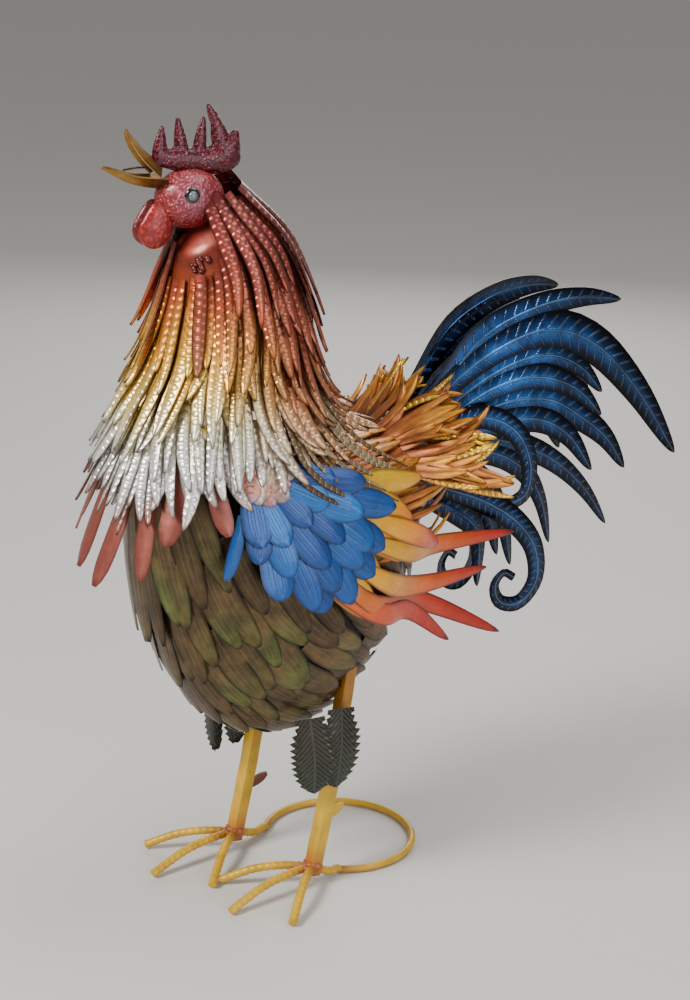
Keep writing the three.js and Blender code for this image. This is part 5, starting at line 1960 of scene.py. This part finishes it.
@dataclass(frozen=True)
class Head:
    """The pebbled head with its beak, comb, wattles and eyes, turned to the bird's right."""

    pivot_y: float = -75.0
    turn: float = 16.0
    centre: tuple[float, float] = (15.0, 578.0)
    half: tuple[float, float, float] = (27.0, 19.0, 22.5)
    eye: tuple[float, float] = (19.5, 582.5)
    eye_side: float = 18.0
    comb_spikes: tuple[tuple[float, float, float, float, float, float], ...] = (
        (39, 608, 36.8, 629.5, 7.6, 2.5),
        (21, 610, 24.4, 635, 7.0, 2.8),
        (8, 612, 4.6, 635, 6.4, 2.8),
        (-11, 615, -5.5, 633, 8.8, 5.2),
        (-5.5, 633, 0.6, 645, 5.2, 2.4),
        (-15, 610, -20.5, 623, 11.5, 4.6),
        (37, 608, 8, 605, 8.0, 10.0),
        (8, 605, -14, 606, 10.0, 11.5),
    )

    def place(self, forward: Array, side: Array, height: Array) -> Array:
        """Takes the head's own directions to the bird's.

        Args:
            forward: millimetres in front of the head's pivot.
            side: millimetres to the bird's left.
            height: millimetres above the floor.

        Returns:
            Points in the bird's millimetres.
        """
        a = math.radians(self.turn)
        forward, side, height = np.broadcast_arrays(forward, side, height)
        x = -forward * math.sin(a) + side * math.cos(a)
        y = self.pivot_y - forward * math.cos(a) - side * math.sin(a)
        return np.stack([x, y, height], axis=-1).astype(float)

    def local(self, points: Array) -> tuple[Array, Array, Array]:
        """Takes the bird's points to the head's own directions.

        Args:
            points: the bird's millimetres.

        Returns:
            Forward, side and height.
        """
        a = math.radians(self.turn)
        x, y = points[..., 0], points[..., 1] - self.pivot_y
        forward = -x * math.sin(a) - y * math.cos(a)
        side = x * math.cos(a) - y * math.sin(a)
        return forward, side, points[..., 2]

    def lump(self, centre: Sequence[float], half: Sequence[float]) -> Callable[[Array, Array], Array]:
        """An egg in the head's directions.

        Args:
            centre: forward, side and height.
            half: its three half sizes.

        Returns:
            Its point for a longitude and a latitude.
        """

        def shape(longitude: Array, latitude: Array) -> Array:
            """A ball's point stretched to the half sizes."""
            flatness = np.cos(latitude)
            return self.place(
                centre[0] + half[0] * flatness * np.cos(longitude),
                centre[1] + half[1] * flatness * np.sin(longitude),
                centre[2] + half[2] * np.sin(latitude),
            )

        return shape

    def skull(self) -> None:
        """Makes the head: an egg with a low brow and cheek."""
        base = self.lump((self.centre[0], 0.0, self.centre[1]), self.half)

        def shape(longitude: Array, latitude: Array) -> Array:
            """The head's point, swollen round the eye and along the cheek."""
            point = base(longitude, latitude)
            forward, side, height = self.local(point)
            away = np.hypot(forward - self.eye[0], height - self.eye[1])
            swell = 1.2 * np.exp(-(((away - 9) / 4.5) ** 2)) * np.sign(side) * (np.abs(side) > 5)
            cheek = 1.6 * np.exp(-(((forward - 14) / 11) ** 2) - ((height - 565) / 7) ** 2) * np.sign(side)
            return self.place(forward, side + swell + cheek, height)

        surface = Surface()
        ball(surface, shape, 44, 72, face_paint, 20.0)
        surface.object("head_skin", FACE_SKIN, "face_red", ["head"])

    def eyes(self) -> None:
        """Makes each eye: a dark ring with a pale glossy bead in it."""
        for side, hand in (("left", 1), ("right", -1)):
            surface = Surface()
            ring = self.lump((self.eye[0], hand * self.eye_side, self.eye[1]), (6.0, 2.8, 6.0))
            bead = self.lump(
                (self.eye[0] + 0.3, hand * (self.eye_side + 1.6), self.eye[1]), (3.6, 2.4, 3.6)
            )
            ball(surface, ring, 14, 28, flat((6, 6, 8), 0), 5.0)
            ball(surface, bead, 14, 28, flat((92, 108, 118), 0), 3.3)
            surface.object(f"eye_{side}_bead", EYE_GLOSS, "eye_bead", [f"eye_{side}"])

    def comb(self) -> None:
        """Makes the comb: rounded spikes on a puffed ridge, grown into one closed skin."""
        rough = Surface()
        for forward, height, to_forward, to_height, wide, narrow in self.comb_spikes:
            start, end = np.array([forward, height]), np.array([to_forward, to_height])
            reach = float(np.hypot(*(end - start)))
            ahead = (end - start) / reach
            beside = np.array([-ahead[1], ahead[0]])

            def shape(longitude: Array, latitude: Array) -> Array:
                """A rounded cone from its wide start to its narrow end."""
                share = np.clip(0.5 + 0.62 * np.sin(latitude), 0, 1)
                radius = wide + (narrow - wide) * share
                flatness = np.cos(latitude) ** 0.75
                along = reach * share + radius * (np.sin(latitude) ** 3)
                off = radius * flatness * np.cos(longitude)
                middle = start + ahead * along[..., None] + beside * off[..., None]
                thick = 0.62 * radius * flatness * np.sin(longitude)
                return self.place(middle[..., 0], thick, middle[..., 1])

            ball(rough, shape, 18, 24, flat((0, 0, 0)), wide)
        rough.grown(
            "comb_plate", 0.0009, flat((108, 20, 40), 0.0)
        ).object("comb_plate", COMB_SKIN, "comb_red", ["comb"])

    def beak(self, rng: np.random.Generator) -> None:
        """Makes the two folded halves of the beak and the tongue between them.

        Args:
            rng: the random numbers.
        """

        def paint(points: Array, u: Array, v: Array, seed: Array) -> Array:
            """Horn yellow, rusty at its root."""
            rust = (smoothstep(0.45, 0.1, v) * 0.7)[..., None]
            return linear((158, 116, 40)) * (1 - rust) + linear((92, 62, 34)) * rust

        for name, root, bend, tip, up in (
            ("upper", (36, 603), (50, 614), (64, 630), 1.0),
            ("lower", (36, 585), (61, 590), (84, 602), -1.0),
        ):
            surface = Surface()
            path = SmoothPath([self.place(at[0], 0.0, at[1]) for at in (root, bend, tip)])
            ribbon(surface, BEAK_CUT, [path], (0, 0, up), [12.0], paint, rng)
            surface.object(f"beak_{name}_half", BEAK_METAL, "beak_gold", [f"beak_{name}"])
        surface = Surface()
        path = SmoothPath([self.place(f, 0.0, h) for f, h in ((40, 600.5), (54, 602.5), (67, 601.0))])
        ribbon(surface, WISP_CUT, [path], (0, 0, 1), [2.4], flat((90, 60, 44)), rng)
        surface.object("tongue_strip", BEAK_METAL, "beak_gold", ["tongue"])

    def wattles(self) -> None:
        """Makes the two smooth lobes under the beak, the right one a darker red as painted shade."""
        # the right lobe's darker red is painted shade
        for side, hand, colour in (("left", 1, (172, 44, 38)), ("right", -1, (120, 34, 34))):
            base = self.lump((45.0, hand * 6.5, 560.0), (13.5, 4.6, 17.5))

            def shape(longitude: Array, latitude: Array) -> Array:
                """The base shape, wider and further forward low down."""
                forward, across, height = self.local(base(longitude, latitude))
                low = smoothstep(575, 548, height)
                return self.place(45 + (forward - 45) * (0.8 + 0.26 * low) - 4 * (1 - low), across, height)

            surface = Surface()
            ball(surface, shape, 26, 36, flat(colour, 0.0), 10.0)
            surface.object(f"wattle_{side}_lobe", WATTLE_PAINT, "face_red", [f"wattle_{side}"])

    def build(self, rng: np.random.Generator) -> None:
        """Makes every piece of the head.

        Args:
            rng: the random numbers.
        """
        self.skull()
        self.eyes()
        self.comb()
        self.beak(rng)
        self.wattles()


HEAD = Head()


@dataclass(frozen=True)
class Feet:
    """The shanks, ribbed toes, spurs, thigh leaves and the hoop that they stand on."""

    leg_x: float = 45.0
    ankle_y: tuple[float, float] = (6.0, -6.0)
    leg_half: float = 5.9
    leg_line: tuple[tuple[float, float], ...] = ((0, 9), (19, 95), (34, 190))
    toe_angles: tuple[float, ...] = (-38.0, 0.0, 38.0)
    toe_lengths: tuple[float, ...] = (76.0, 86.0, 75.0)
    toe_radius: float = 3.35
    hoop_mouth: float = 98.0

    def ankle(self, hand: int) -> np.ndarray:
        """The foot's middle on the floor."""
        return np.array([hand * self.leg_x, self.ankle_y[0 if hand > 0 else 1], 0.0])

    def rebar(self, angle: Array, along: Array) -> Array:
        """Radius of a ribbed rod: a slanted rib each 6 mm and two long seams.

        Args:
            angle: angle round the rod, in radians.
            along: distance along it in mm.

        Returns:
            The radius in mm.
        """
        rib = np.maximum(np.sin(2 * math.pi * along / 6.0 + angle), 0) ** 2
        seam = np.exp(-((np.sin(angle) / 0.28) ** 2))
        return self.toe_radius + 0.5 * rib + 0.3 * seam

    def toes(self, hand: int, name: str) -> None:
        """Makes a foot's four rods, flat where they meet the floor.

        Args:
            hand: the side, 1 or -1.
            name: the side's name.
        """
        surface = Surface()
        ankle = self.ankle(hand)
        for degrees, length in zip(self.toe_angles, self.toe_lengths):
            turn = math.radians(degrees)
            heading = np.array([math.sin(turn), -math.cos(turn), 0.0])
            stops = ((0.03, 16.0), (0.3, 17.0), (0.62, 14.0), (1.0, 3.4))
            path = SmoothPath([ankle + heading * length * share + (0, 0, z) for share, z in stops])
            tube(surface, path, self.rebar, 90, 20, toe_paint)
        half = math.radians(0.5 * self.hoop_mouth)
        end = self.hoop_point(half if hand > 0 else 2 * math.pi - half)
        start = ankle + (0, 2, 16)
        middle = start + 0.6 * (end - start) + (0, 0, -3)
        path = SmoothPath([start, middle, end + (0, 0, 1.5)])
        tube(surface, path, self.rebar, 40, 20, toe_paint)
        for blob, (centre, half_size) in enumerate((((0, 1, 17), 8.2), ((hand * 1.0, -6, 16), 6.2))):
            def weld(longitude: Array, latitude: Array) -> Array:
                """An uneven ball of weld."""
                lumpy = 1 + 0.1 * np.sin(3 * longitude + blob) * np.cos(4 * latitude)
                lumpy = lumpy + 0.07 * np.sin(7 * longitude)
                flatness = np.cos(latitude)
                way = (flatness * np.cos(longitude), flatness * np.sin(longitude), 0.72 * np.sin(latitude))
                ball_point = np.stack(way, axis=-1)
                return ankle + np.array(centre) + half_size * lumpy[..., None] * ball_point

            ball(surface, weld, 16, 28, flat((158, 86, 36), 0.1), half_size)
        for points in surface.points:
            points[:, 2] = np.maximum(points[:, 2], 0.0)
        nodes = [f"toe_{name}_{part}" for part in ("inner", "middle", "outer", "rear")]
        surface.object(f"foot_{name}_rods", FOOT_PAINT, "foot_yellow", nodes)

    def hoop_point(self, angle: float) -> np.ndarray:
        """A point of the hoop's centre line.

        Args:
            angle: radians round it from the front.

        Returns:
            The point.
        """
        x, y = PLACING.hoop_centre
        radius = PLACING.hoop_radius
        return np.array([x + radius * math.sin(angle), y - radius * math.cos(angle), 3.2])

    def shank(self, hand: int, name: str) -> None:
        """Makes a leg's rounded square bar and its spur.

        Args:
            hand: the side, 1 or -1.
            name: the side's name.
        """
        ankle = self.ankle(hand)
        surface = Surface()
        path = SmoothPath([ankle + (0, back, z) for back, z in self.leg_line])

        def square(angle: Array, along: Array) -> Array:
            """Radius of a bar with rounded corners, a little uneven."""
            corner = (np.abs(np.cos(angle)) ** 7 + np.abs(np.sin(angle)) ** 7) ** (-1 / 7)
            return self.leg_half * corner * (1 + 0.012 * np.sin(0.21 * along + 3 * angle))

        tube(surface, path, square, 60, 32, leg_paint, up=(0, 1, 0))
        surface.object(f"leg_{name}_bar", FOOT_PAINT, "foot_yellow", [f"leg_{name}"])
        back = np.interp(58.0, [z for _, z in self.leg_line], [b for b, _ in self.leg_line])
        root = ankle + (0, back + self.leg_half - 0.5, 57.0)
        surface = Surface()
        cut = Cut(
            rows=8, root=1.0, widest=0.1, round_from=0.5, roundness=2.0, tip=0.4, crown=0.8, thickness=2.0
        )
        path = SmoothPath([root, root + (0, 9, 2.0), root + (0, 18.5, 5.0)])
        ribbon(
            surface, cut, [path], (hand, 0, 0), [4.4], leg_paint if hand > 0 else flat((120, 60, 30)), RNG
        )
        surface.object(f"spur_{name}_stub", FOOT_PAINT, "foot_yellow", [f"spur_{name}"])

    def leaves(self, hand: int, name: str) -> None:
        """Makes the two fringed leaves outside a thigh.

        Args:
            hand: the side, 1 or -1.
            name: the side's name.
        """
        surface = Surface()
        ankle = self.ankle(hand)
        for way, degrees in ((1, -12.0), (-1, -30.0)):
            turn = math.radians(degrees)
            top = ankle + np.array([hand * 12.5, way * 17.0, 159.0])
            drop = np.array([hand * (2.0 + way), -way * 6.0, -68.0])
            path = SmoothPath([top, top + 0.5 * drop + (hand * 3.2, 0, 0), top + drop])
            facing = (hand * math.cos(turn), math.sin(turn), 0.1)
            ribbon(surface, LEAF_CUT, [path], facing, [20.5], leaf_paint, RNG)
        surface.object(f"thigh_leaves_{name}_fronds", LEAF_GLOSS, "leaf_green", [f"thigh_leaves_{name}"])

    def build(self, rng: np.random.Generator) -> None:
        """Makes both legs and the hoop.

        Args:
            rng: the random numbers; not used.
        """
        for hand, name in ((1, "left"), (-1, "right")):
            self.toes(hand, name)
            self.shank(hand, name)
            self.leaves(hand, name)
        start = math.radians(0.5 * self.hoop_mouth)
        angles = np.linspace(start, 2 * math.pi - start, 25)
        surface = Surface()
        path = SmoothPath([self.hoop_point(float(a)) for a in angles])
        tube(
            surface, path, lambda angle, along: 3.2 + 0.05 * np.sin(0.3 * along + angle), 160, 20,
            toe_paint_hoop
        )
        surface.object("ring_rod", FOOT_PAINT, "foot_yellow", ["ring"])


def toe_paint_hoop(points: Array, u: Array, v: Array, seed: Array) -> Array:
    """Yellow, browner towards both ends of the hoop."""
    ends = (smoothstep(0.1, 0.0, v) + smoothstep(0.9, 1.0, v))[..., None] * 0.5
    return linear((204, 158, 30)) * (1 - ends) + linear((140, 82, 28)) * ends


RNG = np.random.default_rng(11)


# Floor, light and camera


@dataclass(frozen=True)
class SoftBox:
    """A square soft light aimed at the bird."""

    name: str
    place: tuple[float, float, float]
    size: float
    watts: float
    warmth: tuple[float, float, float] = (1.0, 0.97, 0.93)

    def build(self, target: Vector) -> None:
        """Adds the light.

        Args:
            target: the point that it is aimed at.
        """
        data = bpy.data.lights.new(self.name, "AREA")
        data.shape = "SQUARE"
        data.size = self.size
        data.energy = self.watts
        data.color = self.warmth
        lamp = bpy.data.objects.new(self.name, data)
        lamp.location = self.place
        lamp.rotation_euler = (target - Vector(self.place)).to_track_quat("-Z", "Y").to_euler()
        bpy.context.scene.collection.objects.link(lamp)


@dataclass(frozen=True)
class Studio:
    """A pale floor, soft lights and the camera."""

    camera_mm: tuple[float, float, float] = (1175.7, -987.4, 816.0)
    azimuth: float = 48.0
    down: float = 17.6
    roll: float = -1.8
    lens: float = 72.0
    boxes: tuple[SoftBox, ...] = (
        SoftBox("key", (-0.15, -1.75, 1.75), 0.7, 58.0),
        SoftBox("fill", (2.1, -0.25, 0.9), 1.6, 22.0, (0.93, 0.96, 1.0)),
        SoftBox("top", (0.3, 0.5, 2.2), 1.2, 19.0, (1.0, 0.98, 0.95)),
        SoftBox("back", (-1.5, 1.5, 1.2), 1.2, 16.0, (0.95, 0.97, 1.0)),
    )

    def floor(self) -> None:
        """Makes the floor, which isn't part of the bird."""
        mesh = bpy.data.meshes.new("floor")
        corners = [(-40, -40, -0.0005), (40, -40, -0.0005), (40, 40, -0.0005), (-40, 40, -0.0005)]
        mesh.from_pydata(corners, [], [(0, 1, 2, 3)])
        floor = bpy.data.objects.new("floor", mesh)
        graph = Graph("floor_plain")
        graph.shader.inputs["Base Color"].default_value = (0.62, 0.60, 0.57, 1.0)
        graph.shader.inputs["Roughness"].default_value = 0.7
        mesh.materials.append(graph.material)
        bpy.context.scene.collection.objects.link(floor)

    def camera(self) -> None:
        """Adds the camera, turned a little about its own axis."""
        a, p, r = (math.radians(x) for x in (self.azimuth, self.down, self.roll))
        back = Vector((math.sin(a) * math.cos(p), -math.cos(a) * math.cos(p), math.sin(p)))
        right = Vector((0, 0, 1)).cross(back).normalized()
        up = back.cross(right)
        turned_right = right * math.cos(r) - up * math.sin(r)
        turned_up = up * math.cos(r) + right * math.sin(r)
        data = bpy.data.cameras.new("camera")
        data.lens = self.lens
        data.sensor_width = 36.0
        data.sensor_fit = "AUTO"
        data.clip_start = 0.05
        camera = bpy.data.objects.new("camera", data)
        matrix = Matrix((turned_right, turned_up, back)).transposed().to_4x4()
        matrix.translation = Vector(PLACING.metres(np.array(self.camera_mm)))
        camera.matrix_world = matrix
        bpy.context.scene.collection.objects.link(camera)
        bpy.context.scene.camera = camera

    def build(self) -> None:
        """Makes the studio."""
        self.floor()
        self.camera()
        target = Vector((0.0, -0.05, 0.33))
        for box in self.boxes:
            box.build(target)
        world = bpy.data.worlds.new("studio")
        world.use_nodes = True
        tree = world.node_tree
        lighting = tree.nodes["Background"]
        lighting.inputs["Color"].default_value = (0.83, 0.82, 0.8, 1.0)
        lighting.inputs["Strength"].default_value = 0.42
        seen = tree.nodes.new("ShaderNodeBackground")
        seen.inputs["Color"].default_value = (0.62, 0.6, 0.57, 1.0)
        mixed = tree.nodes.new("ShaderNodeMixShader")
        tree.links.new(tree.nodes.new("ShaderNodeLightPath").outputs["Is Camera Ray"], mixed.inputs[0])
        tree.links.new(lighting.outputs[0], mixed.inputs[1])
        tree.links.new(seen.outputs[0], mixed.inputs[2])
        tree.links.new(mixed.outputs[0], tree.nodes["World Output"].inputs["Surface"])
        bpy.context.scene.world = world


def main() -> None:
    """Builds the bird piece by piece, then the studio."""
    logging.basicConfig(level=logging.INFO, format="%(message)s")
    rng = np.random.default_rng(7)
    for part in (Body(), Neck(), WINGS, Saddle(), Tail(), HEAD, Feet()):
        log.info("building the %s", type(part).__name__.lower())
        part.build(rng)
    Studio().build()


if __name__ == "__main__":
    main()
